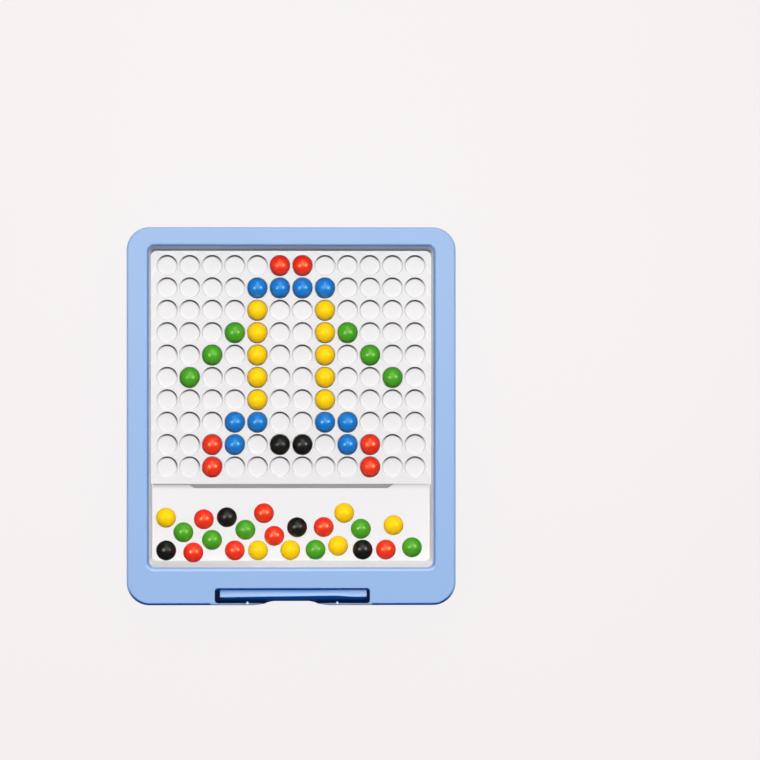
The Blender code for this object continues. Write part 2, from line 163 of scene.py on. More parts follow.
def pick(piece):
    """Selects one piece alone and makes it the active one."""
    bpy.ops.object.select_all(action="DESELECT")
    piece.select_set(True)
    bpy.context.view_layer.objects.active = piece


@contextmanager
def editing(piece, mode):
    """Opens a piece in edit mode with nothing chosen, and closes it again."""
    pick(piece)
    bpy.ops.object.mode_set(mode="EDIT")
    bpy.ops.mesh.select_mode(type=mode)
    bpy.ops.mesh.select_all(action="DESELECT")
    yield
    bpy.ops.object.mode_set(mode="OBJECT")


def choose(piece, kind, wanted):
    """Selects the parts of the open mesh, its verts, edges or faces, that a test wants."""
    bpy.ops.mesh.select_all(action="DESELECT")
    mesh = bmesh.from_edit_mesh(piece.data)
    chosen = [part for part in getattr(mesh, kind) if wanted(part)]
    for part in chosen:
        part.select_set(True)
    bmesh.update_edit_mesh(piece.data)
    return len(chosen)


def upright(edge):
    """True for an edge that runs straight up."""
    a, b = edge.verts[0].co, edge.verts[1].co
    return abs(a.x - b.x) < TINY and abs(a.y - b.y) < TINY


def level(edge, height):
    """True for an edge that lies at a height."""
    return all(abs(vert.co.z - height) < TINY for vert in edge.verts)


# %% Blocks, Booleans and the last touches
def named(name):
    """Gives the primitive that was just added its name, and puts its size and place in its mesh."""
    piece = bpy.context.object
    piece.name = name
    piece.data.name = name
    bpy.ops.object.transform_apply(location=True, rotation=True, scale=True)
    return piece


def rounded_block(name, low, high, radius, segments=12):
    """A block between two corners with its upright edges rounded."""
    low, high = Vector(low), Vector(high)
    bpy.ops.object.select_all(action="DESELECT")
    bpy.ops.mesh.primitive_cube_add(size=1.0, location=(low + high) / 2, scale=high - low)
    block = named(name)
    with editing(block, "EDGE"):
        choose(block, "edges", upright)
        bpy.ops.mesh.bevel(offset=radius, segments=segments, affect="EDGES")
    return block


def round_over(piece, radius, segments, wanted):
    """Rounds the chosen edges."""
    with editing(piece, "EDGE"):
        count = choose(piece, "edges", wanted)
        bpy.ops.mesh.bevel(offset=radius, segments=segments, affect="EDGES")
    return count


def apply_modifier(piece, kind, **settings):
    """Adds a modifier, sets it and applies it."""
    pick(piece)
    step = piece.modifiers.new(kind.lower(), kind)
    for name, value in settings.items():
        setattr(step, name, value)
    bpy.ops.object.modifier_apply(modifier=step.name)


def cut(piece, tool, operation="DIFFERENCE"):
    """Takes a tool out of a piece, or joins it on, and throws the tool away."""
    apply_modifier(piece, "BOOLEAN", operation=operation, solver="EXACT", object=tool)
    bpy.data.objects.remove(tool, do_unlink=True)


def post(name, x, y, low, high, radius, sides=32):
    """An upright round post."""
    bpy.ops.object.select_all(action="DESELECT")
    bpy.ops.mesh.primitive_cylinder_add(vertices=sides, radius=radius, depth=high - low,
                                        location=(x, y, (low + high) / 2))
    return named(name)


def complete(piece, finish, slot, body, *nodes):
    """Smooths a finished piece, gives it its finish, and seats it on its body."""
    pick(piece)
    bpy.ops.object.mode_set(mode="EDIT")
    bpy.ops.mesh.select_all(action="SELECT")
    bpy.ops.mesh.remove_doubles(threshold=WELD)
    bpy.ops.mesh.normals_make_consistent(inside=False)
    bpy.ops.object.mode_set(mode="OBJECT")
    bpy.ops.object.shade_smooth_by_angle(angle=math.radians(SMOOTH_ANGLE))
    apply_modifier(piece, "WEIGHTED_NORMAL", keep_sharp=True, weight=NORMAL_WEIGHT)
    piece.data.materials.clear()
    piece.data.materials.append(finish)
    if nodes:
        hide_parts(*nodes)
    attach(piece, body)
    mesh = bmesh.new()
    mesh.from_mesh(piece.data)
    open_edges = sum(1 for edge in mesh.edges if not edge.is_manifold)
    print(piece.name, "has", len(mesh.faces), "faces and", open_edges, "open edges")
    mesh.free()


# %% [markdown]
# ## Shader helpers
# A material is a sum of patterns. The class below wraps one output of a shader node, so that a
# sum such as `0.4 + 0.1 * noise` is written as it reads and turns into Math nodes. Every other
# kind of node comes from its `node` method. A patch that is painted by place has soft edges: each
# is a pair of values, where the patch starts to show and where it shows in full, and `ramp`
# rises from one to the other.

# %% A socket that can be used in sums
class Socket:
    """One output of a shader node."""

    def __init__(self, tree, output):
        self.tree = tree
        self.output = output

    def node(self, kind, settings=None, inputs=None, output=0):
        """Adds a node, sets it, and gives its sockets values or links."""
        made = self.tree.nodes.new(kind)
        for name, value in (settings or {}).items():
            setattr(made, name, value)
        for name, value in (inputs or {}).items():
            connect(self.tree, value, made.inputs[name])
        return Socket(self.tree, made.outputs[output])

    def maths(self, operation, *values):
        """A Math node with its values."""
        return self.node("ShaderNodeMath", {"operation": operation}, dict(enumerate(values)))

    def __add__(self, other):
        return self.maths("ADD", self, other)

    def __radd__(self, other):
        return self.maths("ADD", other, self)

    def __sub__(self, other):
        return self.maths("SUBTRACT", self, other)

    def __rsub__(self, other):
        return self.maths("SUBTRACT", other, self)

    def __mul__(self, other):
        return self.maths("MULTIPLY", self, other)

    def __rmul__(self, other):
        return self.maths("MULTIPLY", other, self)

    def __abs__(self):
        return self.maths("ABSOLUTE", self)

    def ramp(self, low, high):
        """0 below low, 1 above high, and a smooth rise between them, or a fall if high is lower."""
        return self.node("ShaderNodeMapRange", {"interpolation_type": "SMOOTHSTEP"},
                         {"Value": self, "From Min": low, "From Max": high})

    def mix(self, first, second):
        """One colour where the socket is 0, the other where it is 1."""
        return self.node("ShaderNodeMix", {"data_type": "RGBA"}, {0: self, 6: first, 7: second}, 2)

    def noise(self, size, detail=2.0, stretch=(1.0, 1.0, 1.0), turn=0.0):
        """Cloudy noise over the piece, in patches of a size, stretched along the axes if asked."""
        place = self.node("ShaderNodeMapping", {}, {"Vector": self, "Scale": stretch,
                                                    "Rotation": (0.0, 0.0, math.radians(turn))})
        return place.node("ShaderNodeTexNoise", {},
                          {"Vector": place, "Scale": 1.0 / size, "Detail": detail})

    def axes(self):
        """The x, y and z of a position."""
        split = self.tree.nodes.new("ShaderNodeSeparateXYZ")
        connect(self.tree, self, split.inputs[0])
        return [Socket(self.tree, output) for output in split.outputs]


def connect(tree, value, socket):
    """Links a socket to another, or sets its value."""
    if isinstance(value, Socket):
        tree.links.new(value.output, socket)
    else:
        socket.default_value = value


# %% Start and fill a finish
def new_finish(name):
    """A new material, and the place on the piece that its patterns read."""
    material = bpy.data.materials.new(name)
    material.use_nodes = True
    place = Socket(material.node_tree, None).node("ShaderNodeTexCoord", output="Object")
    return material, place


def fill(material, values):
    """Sets or links the shader's sockets."""
    shader = material.node_tree.nodes["Principled BSDF"]
    for name, value in values.items():
        connect(material.node_tree, value, shader.inputs[name])
    return material


def bump(height, depth, strength=1.0):
    """Turns a height pattern into a slight relief of a real depth."""
    return height.node("ShaderNodeBump", {}, {"Height": height, "Distance": depth,
                                              "Strength": strength})


def opaque(colour):
    """A colour with full alpha."""
    return (*colour, 1.0)


# %% [markdown]
# ## Blue moulded plastic
# The case is injection-moulded in a pale, slightly milky blue, and painted shade makes it a touch
# deeper towards its foot. Such plastic looks flat only from afar: it has a fine satin grain from
# the mould, clouds where the melt flowed, and a few hairline scratches that show when light grazes
# it. The shading that one soft light doesn't give is painted by place: painted shade on the seam
# round the window, a painted highlight on the lip below it, painted navy shade on the bottom edge
# beside the pocket and painted highlights on the nubs. Painted shade makes the pen's pocket and
# the line where the two halves meet nearly black, and the gap behind the pen navy.

# %% Blue shell finish
SHELL_BLUE = (0.284, 0.413, 0.645)
# Painted shade towards the foot of the case, where the light falls off
SHELL_LOW_SHADE = (0.254, 0.394, 0.655)
# Painted shade: near black in the pocket and the parting line, navy in the gap behind the pen
SHELL_DEEP_SHADE = (0.0001, 0.004, 0.030)
SHELL_GAP_SHADE = (0.0002, 0.036, 0.190)
# A painted highlight on the lip below the window
SHELL_LIP_HIGHLIGHT = (0.380, 0.515, 0.750)
# Painted shade on the bottom edge beside the pocket
SHELL_RIM_SHADE = (0.0005, 0.078, 0.360)
# Painted shade on the seam round the window
SHELL_SEAM_SHADE = (0.155, 0.280, 0.560)
# Painted highlights on the nubs
SHELL_NUB_HIGHLIGHT = (0.600, 0.700, 0.850)

POCKET_LOW = Vector((-49.25 * MM, -120.5125 * MM))
POCKET_HIGH = Vector((50.65 * MM, -110.8125 * MM))
POCKET_FLOOR = FACE_LEVEL - 8.5 * MM
NUB_SPACING = 58.0 * MM
NUB_RADIUS = 0.8 * MM

POCKET_TOP = FACE_LEVEL - 0.2 * MM
POCKET_SOFT = 0.35 * MM
POCKET_FOOT = (POCKET_FLOOR - 0.3 * MM, POCKET_FLOOR - 0.1 * MM)
BEHIND_PEN = (POCKET_HIGH.y - 2.2 * MM, POCKET_HIGH.y - 1.4 * MM)
PARTING_EDGE = (GAP / 2 + 0.04 * MM, GAP / 2)
NUB_EDGE = (NUB_RADIUS + 0.1 * MM, NUB_RADIUS - 0.2 * MM)
WINDOW_FOOT = (WINDOW_LOW.y + 2.5 * MM, WINDOW_LOW.y)
SEAM_EDGE = (0.9 * MM, 0.4 * MM)
SEAM_FOOT_LOSS = 0.8
LIP_INSIDE = (0.4 * MM, 0.7 * MM)
LIP_OUTSIDE = (1.9 * MM, 1.5 * MM)
RIM_TOP = (FACE_LEVEL - 0.01 * MM, FACE_LEVEL - 0.18 * MM)
RIM_BOTTOM = (FACE_LEVEL - 3 * MM, FACE_LEVEL - 2 * MM)
RIM_FOOT = (-HALF_HEIGHT + 13 * MM, -HALF_HEIGHT + 3 * MM)
RIM_ASIDE = (51 * MM, 53 * MM)


def inside_mask(place, low, high, top, soft):
    """1 inside an upright box under a level, fading to 0 over a soft edge."""
    x, y, z = place.axes()
    middle = (low + high) / 2
    half = (high - low) / 2
    across = abs(x - middle.x).ramp(half.x + soft, half.x)
    along = abs(y - middle.y).ramp(half.y + soft, half.y)
    return across * along * z.ramp(top, top - 2 * soft)


def edge_distance(place, low, high, radius):
    """How far a place lies outside an upright wall with round corners. It is negative inside."""
    x, y, _ = place.axes()
    middle, half = (low + high) / 2, (high - low) / 2
    across = abs(x - middle.x) - (half.x - radius)
    along = abs(y - middle.y) - (half.y - radius)
    inner = across.maths("MAXIMUM", across, along)
    across, along = (side.maths("MAXIMUM", side, 0.0) for side in (across, along))
    corner = across * across + along * along
    return corner.maths("SQRT", corner) + inner.maths("MINIMUM", inner, 0.0) - radius


def scratches(place):
    """Fine straight hairlines in two directions."""
    one = place.noise(1.1 * MM, 1.0, (0.04, 1.0, 1.0), 24.0).ramp(0.70, 0.76)
    two = place.noise(1.4 * MM, 1.0, (1.0, 0.05, 1.0), -38.0).ramp(0.71, 0.77)
    return one.maths("MAXIMUM", one, two)


def paint_window_shade_and_highlight(place, colour):
    """Paints shade on the seam round the window and a highlight on the lip below it."""
    _, y, _ = place.axes()
    aside = edge_distance(place, WINDOW_LOW, WINDOW_HIGH, WINDOW_RADIUS)
    foot = y.ramp(*WINDOW_FOOT)
    seam = aside.ramp(*SEAM_EDGE) * (1 - SEAM_FOOT_LOSS * foot)
    lip = aside.ramp(*LIP_INSIDE) * aside.ramp(*LIP_OUTSIDE) * foot
    return seam.mix(lip.mix(colour, opaque(SHELL_LIP_HIGHLIGHT)), opaque(SHELL_SEAM_SHADE))


def paint_pocket_shade_and_highlights(place, colour):
    """Paints shade in the pocket, behind the pen and where the halves meet, and highlights on the
    nubs.
    """
    x, y, z = place.axes()
    pocket = inside_mask(place, POCKET_LOW, POCKET_HIGH, POCKET_TOP, POCKET_SOFT)
    pocket = pocket * z.ramp(*POCKET_FOOT)
    # Painted shade in the line where the two halves meet, and in the pocket
    parting = abs(z - (SPLIT_LEVEL - GAP / 2)).ramp(*PARTING_EDGE)
    deep = y.ramp(*BEHIND_PEN).mix(opaque(SHELL_DEEP_SHADE), opaque(SHELL_GAP_SHADE))
    # Painted highlights on the tips of the nubs
    across = abs(abs(x - (POCKET_LOW.x + POCKET_HIGH.x) / 2) - NUB_SPACING / 2)
    nub = across * across + (y - POCKET_LOW.y) * (y - POCKET_LOW.y)
    nub = nub.maths("SQRT", nub).ramp(*NUB_EDGE)
    colour = pocket.maths("MAXIMUM", pocket, parting).mix(colour, deep)
    return nub.mix(colour, opaque(SHELL_NUB_HIGHLIGHT))


def shell_finish():
    """Pale blue satin plastic with light and shade painted by place."""
    material, place = new_finish("blue_moulded_shell")
    clouds = place.noise(46 * MM, 3.0).ramp(0.25, 0.75)
    grain = place.noise(0.42 * MM, 2.0)
    lines = scratches(place)
    x, y, z = place.axes()
    # Painted shade deepens the blue towards the foot, mixed with the melt clouds
    falloff_shade_and_clouds = 0.85 * y.ramp(HALF_HEIGHT, -HALF_HEIGHT) + 0.15 * clouds
    # Painted navy shade on the bottom edge, which turns away from the light
    rim = z.ramp(*RIM_TOP) * z.ramp(*RIM_BOTTOM) * y.ramp(*RIM_FOOT) * abs(x).ramp(*RIM_ASIDE)
    colour = falloff_shade_and_clouds.mix(opaque(SHELL_BLUE), opaque(SHELL_LOW_SHADE))
    colour = rim.mix(paint_window_shade_and_highlight(place, colour), opaque(SHELL_RIM_SHADE))
    return fill(material, {
        "Base Color": paint_pocket_shade_and_highlights(place, colour),
        "Roughness": 0.40 + 0.07 * clouds + 0.06 * grain - 0.08 * lines,
        "Normal": bump(grain - 0.6 * lines, 0.020 * MM, 0.55),
        "Specular IOR Level": 0.20,
    })


SHELL = shell_finish()
print("made", SHELL.name)

# %% [markdown]
# ## Clear cover
# The cover is a thin clear sheet. Light must pass straight through it to the beads, so it mixes a
# transparent shader with a glossy one. The share of gloss grows steeply as the sheet is seen more
# from the side, and head-on there is none, because the photograph shows none. A Fresnel node
# would turn the sheet into a mirror from the inside, so the share comes from Layer Weight, which
# is the same from both sides. Fine scratches from small hands blur that gloss here and there.

# %% Clear cover finish
GLOSS_RISE = 5.0


def cover_finish():
    """A clear sheet with gloss only where it is seen from the side."""
    material, place = new_finish("clear_cover_sheet")
    smears = place.noise(24 * MM, 4.0, (1.0, 0.6, 1.0), 35.0).ramp(0.45, 0.70)
    lines = scratches(place)
    fill(material, {
        "Base Color": (0.93, 0.95, 0.97, 1.0),
        "Roughness": 0.06 + 0.05 * smears + 0.20 * lines,
        "Normal": bump(lines, 0.004 * MM, 0.4),
    })
    nodes = material.node_tree.nodes
    gloss = Socket(material.node_tree, nodes["Principled BSDF"].outputs[0])
    clear = place.node("ShaderNodeBsdfTransparent", {}, {"Color": (0.985, 0.99, 0.995, 1.0)})
    aside = place.node("ShaderNodeLayerWeight", {}, {"Blend": 0.5}, "Facing")
    share = aside.maths("POWER", aside, GLOSS_RISE) + 0.004 * lines + 0.001 * smears
    sheet = place.node("ShaderNodeMixShader", {}, {0: share, 1: clear, 2: gloss})
    connect(material.node_tree, sheet, nodes["Material Output"].inputs["Surface"])
    return material


COVER = cover_finish()
print("made", COVER.name)

# %% [markdown]
# ## Bead plastic
# Each bead is a steel core in a coloured plastic skin. The skin has a soft gloss, a faint
# orange-peel ripple and a slightly duller line where the two mould halves met. The line follows
# the bead's own UV map, so it stays with the bead however it has rolled. Each colour also tints
# its gloss, because the highlights in the photograph aren't quite white.

# %% Bead finishes
# The skin's colour, its colour where it is darker, and the tint and level of its gloss
BEAD_COLOURS = {
    "red": ((0.870, 0.012, 0.004), (0.820, 0.009, 0.003), (1.00, 1.00, 0.45), 1.00),
    "blue": ((0.0005, 0.165, 0.565), (0.0005, 0.150, 0.520), (0.52, 1.00, 0.78), 0.95),
    "yellow": ((0.930, 0.560, 0.002), (0.900, 0.530, 0.002), (1.00, 1.00, 0.20), 0.45),
    "green": ((0.048, 0.345, 0.008), (0.042, 0.320, 0.006), (1.00, 0.75, 0.55), 0.80),
    "black": ((0.0055, 0.0050, 0.0040), (0.0040, 0.0036, 0.0030), (1.00, 0.98, 0.94), 0.45),
}


def bead_finish(colour):
    """The skin of the beads of one colour."""
    material, place = new_finish("bead_skin_" + colour)
    light, dark, gloss, shine = BEAD_COLOURS[colour]
    uv = place.node("ShaderNodeTexCoord", output="UV")
    _, up, _ = uv.axes()
    seam = abs(up - 0.5).ramp(0.012, 0.004)
    clouds = place.noise(4.5 * MM, 2.0).ramp(0.3, 0.7)
    peel = place.noise(0.9 * MM, 1.0)
    return fill(material, {
        "Base Color": (0.5 * clouds + 0.35 * seam).mix(opaque(light), opaque(dark)),
        "Roughness": 0.29 + 0.04 * clouds + 0.12 * seam,
        "Normal": bump(peel, 0.012 * MM, 0.30),
        "Specular IOR Level": shine,
        "Specular Tint": opaque(gloss),
    })


BEAD_SKINS = {colour: bead_finish(colour) for colour in BEAD_COLOURS}
print("made", len(BEAD_SKINS), "bead skins")

# %% [markdown]
# ## Pen plastic
# The pen is pale blue. Painted shade makes its lower flank navy and its upper side a deeper blue,
# less so towards the right, and a painted highlight brightens it along the edge of the navy. That
# edge rises a little from left to right and dips near the right end.

# %% Pen finish
PEN_LOW, PEN_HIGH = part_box("pen_barrel")[0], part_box("pen_plug")[1]
PEN_MIDDLE = (PEN_LOW + PEN_HIGH) / 2
PEN_BLUE = (0.265, 0.390, 0.610)
PEN_CLOUD = (0.256, 0.380, 0.600)
# Painted shade on the pen's upper side
PEN_UPPER_SHADE = (0.105, 0.270, 0.610)
# A painted highlight along the edge of the navy
PEN_GLINT = (0.330, 0.490, 0.800)
# Painted shade on the pen's lower flank
PEN_FLANK_SHADE = (0.0002, 0.040, 0.190)
PEN_EDGE = -0.30 * MM
PEN_EDGE_RISE = 0.014
PEN_EDGE_DIP = 0.95 * MM
PEN_DIP = (25 * MM, 41 * MM)
FLANK_EDGE = (0.15 * MM, -0.15 * MM)
GLINT_EDGE = (2.2 * MM, 0.6 * MM)
SKY_UP = (1.4 * MM, 3.3 * MM)
SKY_ALONG = (70 * MM, 0.0)


def pen_finish():
    """Pale blue plastic with painted shade on its flank and upper side and a painted highlight."""
    material, place = new_finish("pen_plastic")
    x, y, _ = place.axes()
    along = x - PEN_MIDDLE.x
    edge = PEN_MIDDLE.y + PEN_EDGE + PEN_EDGE_RISE * along - PEN_EDGE_DIP * along.ramp(*PEN_DIP)
    # Painted shade below the edge
    flank = (y - edge).ramp(*FLANK_EDGE)
    clouds = place.noise(20 * MM, 2.0).ramp(0.3, 0.7)
    grain = place.noise(0.5 * MM, 2.0, (0.3, 1.0, 1.0))
    pale = clouds.mix(opaque(PEN_BLUE), opaque(PEN_CLOUD))
    # Painted highlight just above the navy edge
    glint = (y - edge).ramp(*GLINT_EDGE)
    pale = glint.mix(pale, opaque(PEN_GLINT))
    # Painted shade along the upper side, less towards the right
    upper_shade = (y - PEN_MIDDLE.y).ramp(*SKY_UP) * along.ramp(*SKY_ALONG)
    pale = upper_shade.mix(pale, opaque(PEN_UPPER_SHADE))
    return fill(material, {
        "Base Color": flank.mix(pale, opaque(PEN_FLANK_SHADE)),
        "Roughness": 0.34 + 0.06 * clouds,
        "Normal": bump(grain, 0.010 * MM, 0.4),
        "Specular IOR Level": 0.10,
    })


PEN = pen_finish()
print("made", PEN.name)

# %% [markdown]
# ## Steel and magnet
# The screws are zinc-plated steel, turned on a lathe, so their gloss is drawn out into fine
# rings. The magnet in the pen's tip is dull black ferrite.

# %% Steel and magnet finishes
def steel_finish():
    """Bright zinc with turned rings."""
    material, place = new_finish("zinc_plated_steel")
    clouds = place.noise(1.8 * MM, 3.0).ramp(0.3, 0.7)
    turned = place.noise(0.22 * MM, 1.0, (1.0, 1.0, 0.2))
    return fill(material, {
        "Base Color": clouds.mix((0.62, 0.63, 0.65, 1.0), (0.50, 0.50, 0.53, 1.0)),
        "Metallic": 1.0,
        "Roughness": 0.26 + 0.12 * clouds + 0.06 * turned,
        "Normal": bump(turned, 0.010 * MM, 0.4),
    })


def magnet_finish():
    """Dull black ferrite."""
    material, place = new_finish("black_ferrite")
    grain = place.noise(0.3 * MM, 3.0)
    return fill(material, {
        "Base Color": grain.mix((0.020, 0.020, 0.022, 1.0), (0.055, 0.054, 0.056, 1.0)),
        "Roughness": 0.55 + 0.15 * grain,
        "Metallic": 0.25,
        "Normal": bump(grain, 0.030 * MM, 0.6),
    })


STEEL, MAGNET = steel_finish(), magnet_finish()
print("made", STEEL.name, MAGNET.name)

# %% [markdown]
# ## The board's outline
# Front frame and back cover share one outline: a rectangle with large round corners, and a
# shallow finger notch in the middle of its bottom edge, with sides that slope in softly. It is
# built as a block that any shell can start from, and a smaller block of the same outline, set
# in by a wall's thickness, hollows it out.

# %% Outline block
NOTCH_DEPTH = 2.9 * MM
NOTCH_WIDTH = 41.4 * MM
NOTCH_TOP_WIDTH = 21.3 * MM
NOTCH_CORNER = 4.9 * MM
NOTCH_RUN = (NOTCH_WIDTH - NOTCH_TOP_WIDTH) / 2
NOTCH_SLOPE = math.atan2(NOTCH_DEPTH, NOTCH_RUN)
NOTCH_REACH = 0.2 * MM


def notch_tool(inwards, low, high):
    """A wedge with rounded top corners that cuts the finger notch."""
    spread = inwards * math.tan(NOTCH_SLOPE / 2)
    foot = -HALF_HEIGHT + inwards - OVERRUN
    head = -HALF_HEIGHT + inwards + NOTCH_DEPTH
    foot_half = NOTCH_WIDTH / 2 + spread + OVERRUN * NOTCH_RUN / NOTCH_DEPTH
    head_half = NOTCH_TOP_WIDTH / 2 + spread
    tool = rounded_block("notch_tool", (-foot_half, foot, low - OVERRUN),
                         (foot_half, head, high + OVERRUN), 0.0)
    with editing(tool, "VERT"):
        choose(tool, "verts", lambda vert: vert.co.y > head - TINY)
        bpy.ops.transform.resize(value=(head_half / foot_half, 1.0, 1.0))
    round_over(tool, NOTCH_CORNER, 8,
               lambda edge: upright(edge) and edge.verts[0].co.y > head - TINY)
    return tool


def board_block(name, inwards, low, high):
    """A block of the board's outline, set in by a distance."""
    half = Vector((HALF_WIDTH - inwards, HALF_HEIGHT - inwards))
    block = rounded_block(name, (-half.x, -half.y, low), (half.x, half.y, high),
                          CORNER_RADIUS - inwards, 20)
    cut(block, notch_tool(inwards, low, high))
    corner = NOTCH_WIDTH / 2 + inwards * math.tan(NOTCH_SLOPE / 2)
    round_over(block, NOTCH_CORNER, 8, lambda edge: upright(edge)
               and abs(abs(edge.verts[0].co.x) - corner) < NOTCH_REACH
               and edge.verts[0].co.y < -half.y + NOTCH_REACH)
    return block


# %% Places of the four screws
SCREW_PLACES = {node: middle_of(node) for node in sorted(frame["nodes"]) if "screw" in node}
BOSS_RADIUS = 3.3 * MM
BOSS_FOOT_RADIUS = 4.6 * MM
PILOT_RADIUS = 1.6 * MM
SCREW_HEAD_HOLE = 2.9 * MM
SCREW_HEAD_DEPTH = 2.6 * MM


def at_screws(piece, operation, low, high, radius):
    """Cuts or joins a round post at each of the four screws."""
    for place in SCREW_PLACES.values():
        cut(piece, post("post", place.x, place.y, low, high, radius), operation)


# %% [markdown]
# ## Front frame
# The frame is one moulding: a flat face with softly rounded edges, a window, a skirt that goes
# down to the parting line, and a pocket for the pen. It starts as a solid block, whose top edge
# is rounded over before the inside, the window and the pocket are cut out of it. The pocket
# stays closed below, because its walls are left standing when the block is hollowed.

# %% Front frame
FACE_EDGE_RADIUS = 2.0 * MM
WINDOW_EDGE_RADIUS = 0.8 * MM
WINDOW_LEAN = 0.65 * MM
POCKET_RADIUS = 1.9 * MM
POCKET_WALL = 1.6 * MM
POCKET_EDGE_RADIUS = 0.35 * MM
NUB_LENGTH = 3.0 * MM
NUB_DROP = 0.6 * MM
NUB_TOP_RADIUS = 0.5 * MM


def frame_hollow():
    """What is missing inside the frame: all but its walls, the pocket's trough and the bosses."""
    hollow = board_block("frame_hollow", SHELL_WALL, SPLIT_LEVEL - OVERRUN, FACE_UNDERSIDE)
    lap = board_block("frame_lap", SKIRT_WALL, SPLIT_LEVEL - 2 * OVERRUN,
                      SPLIT_LEVEL + LAP_HEIGHT + GAP)
    cut(hollow, lap, "UNION")
    trough = rounded_block(
        "trough", (POCKET_LOW.x - POCKET_WALL, -HALF_HEIGHT - OVERRUN, POCKET_FLOOR - POCKET_WALL),
        (POCKET_HIGH.x + POCKET_WALL, POCKET_HIGH.y + POCKET_WALL, FACE_LEVEL), POCKET_RADIUS)
    cut(hollow, trough)
    at_screws(hollow, "DIFFERENCE", 0.0, FACE_LEVEL, BOSS_RADIUS)
    return hollow


def window_tool():
    """A block that is wider above than below, which cuts the window with leaning walls."""
    tool = rounded_block("window", (*WINDOW_LOW, FACE_UNDERSIDE - OVERRUN),
                         (*WINDOW_HIGH, FACE_LEVEL + OVERRUN), WINDOW_RADIUS, 10)
    size = WINDOW_HIGH - WINDOW_LOW
    spread = WINDOW_LEAN * (1 + 2 * OVERRUN / FACE_THICKNESS)
    with editing(tool, "VERT"):
        for wanted, reach in ((lambda vert: vert.co.z > FACE_LEVEL, spread),
                              (lambda vert: vert.co.z < FACE_LEVEL, -spread)):
            choose(tool, "verts", wanted)
            bpy.ops.transform.resize(value=(1 + 2 * reach / size.x, 1 + 2 * reach / size.y, 1.0))
    return tool


def front_frame():
    """The frame with its bosses and its window, but without the pocket."""
    shell = board_block("frame_moulding", 0.0, SPLIT_LEVEL, FACE_LEVEL)
    round_over(shell, FACE_EDGE_RADIUS, 6, lambda edge: level(edge, FACE_LEVEL))
    cut(shell, frame_hollow())
    for place in SCREW_PLACES.values():
        cut(shell, post("boss", place.x, place.y, BOSS_LEVEL, SPLIT_LEVEL + OVERRUN,
                        BOSS_RADIUS), "UNION")
    at_screws(shell, "DIFFERENCE", BOSS_LEVEL - OVERRUN, SPLIT_LEVEL + 4 * OVERRUN, PILOT_RADIUS)
    cut(shell, window_tool())
    count = round_over(shell, WINDOW_EDGE_RADIUS, 4, lambda edge: level(edge, FACE_LEVEL)
                       and any(face.normal.z < 0.6 for face in edge.link_faces)
                       and abs(edge.verts[0].co.x) < WINDOW_HIGH.x + MM
                       and edge.verts[0].co.y > WINDOW_LOW.y - MM
                       and edge.verts[0].co.y < WINDOW_HIGH.y + MM)
    print("window edge rounded along", count, "edges")
    return shell


def pen_pocket(shell):
    """Cuts the pen's pocket, softens its rim and adds the two nubs that hold the pen."""
    pocket = rounded_block("pocket", (*POCKET_LOW, POCKET_FLOOR),
                           (*POCKET_HIGH, FACE_LEVEL + OVERRUN), POCKET_RADIUS, 8)
    cut(shell, pocket)
    middle = (POCKET_LOW + POCKET_HIGH) / 2
    half = (POCKET_HIGH - POCKET_LOW) / 2

    def on_rim(edge):
        """True for an edge between the face and the pocket's walls."""
        spot = (edge.verts[0].co + edge.verts[1].co) / 2
        walls = [face for face in edge.link_faces if abs(face.normal.z) < 0.1]
        return (abs(spot.x - middle.x) < half.x + TINY and abs(spot.y - middle.y) < half.y + TINY
                and spot.z > FACE_LEVEL - OVERRUN and len(walls) == 1 and not upright(edge))

    count = round_over(shell, POCKET_EDGE_RADIUS, 3, on_rim)
    print("pocket rim rounded along", count, "edges")
    for side in (-1, 1):
        nub = post("nub", middle.x + side * NUB_SPACING / 2, POCKET_LOW.y,
                   FACE_LEVEL - NUB_DROP - NUB_LENGTH, FACE_LEVEL - NUB_DROP, NUB_RADIUS, 24)
        round_over(nub, NUB_TOP_RADIUS, 4, lambda edge: level(edge, FACE_LEVEL - NUB_DROP))
        cut(shell, nub, "UNION")
    return shell


frame_moulding = pen_pocket(front_frame())
complete(frame_moulding, SHELL, "blue_shell", "root", "front_frame")

# %% [markdown]
# ## Back cover
# The back is a shallow pan that closes the case. A thin tongue on its rim goes up inside the
# frame's skirt, four posts carry the screws, and each screw head sits in a round recess. The
# edge that the board rests on is rounded, so that it doesn't scratch a table.

# %% Back cover
BACK_EDGE_RADIUS = 1.5 * MM
RECESS_EDGE_RADIUS = 0.3 * MM
RECESS_REACH = 0.1 * MM


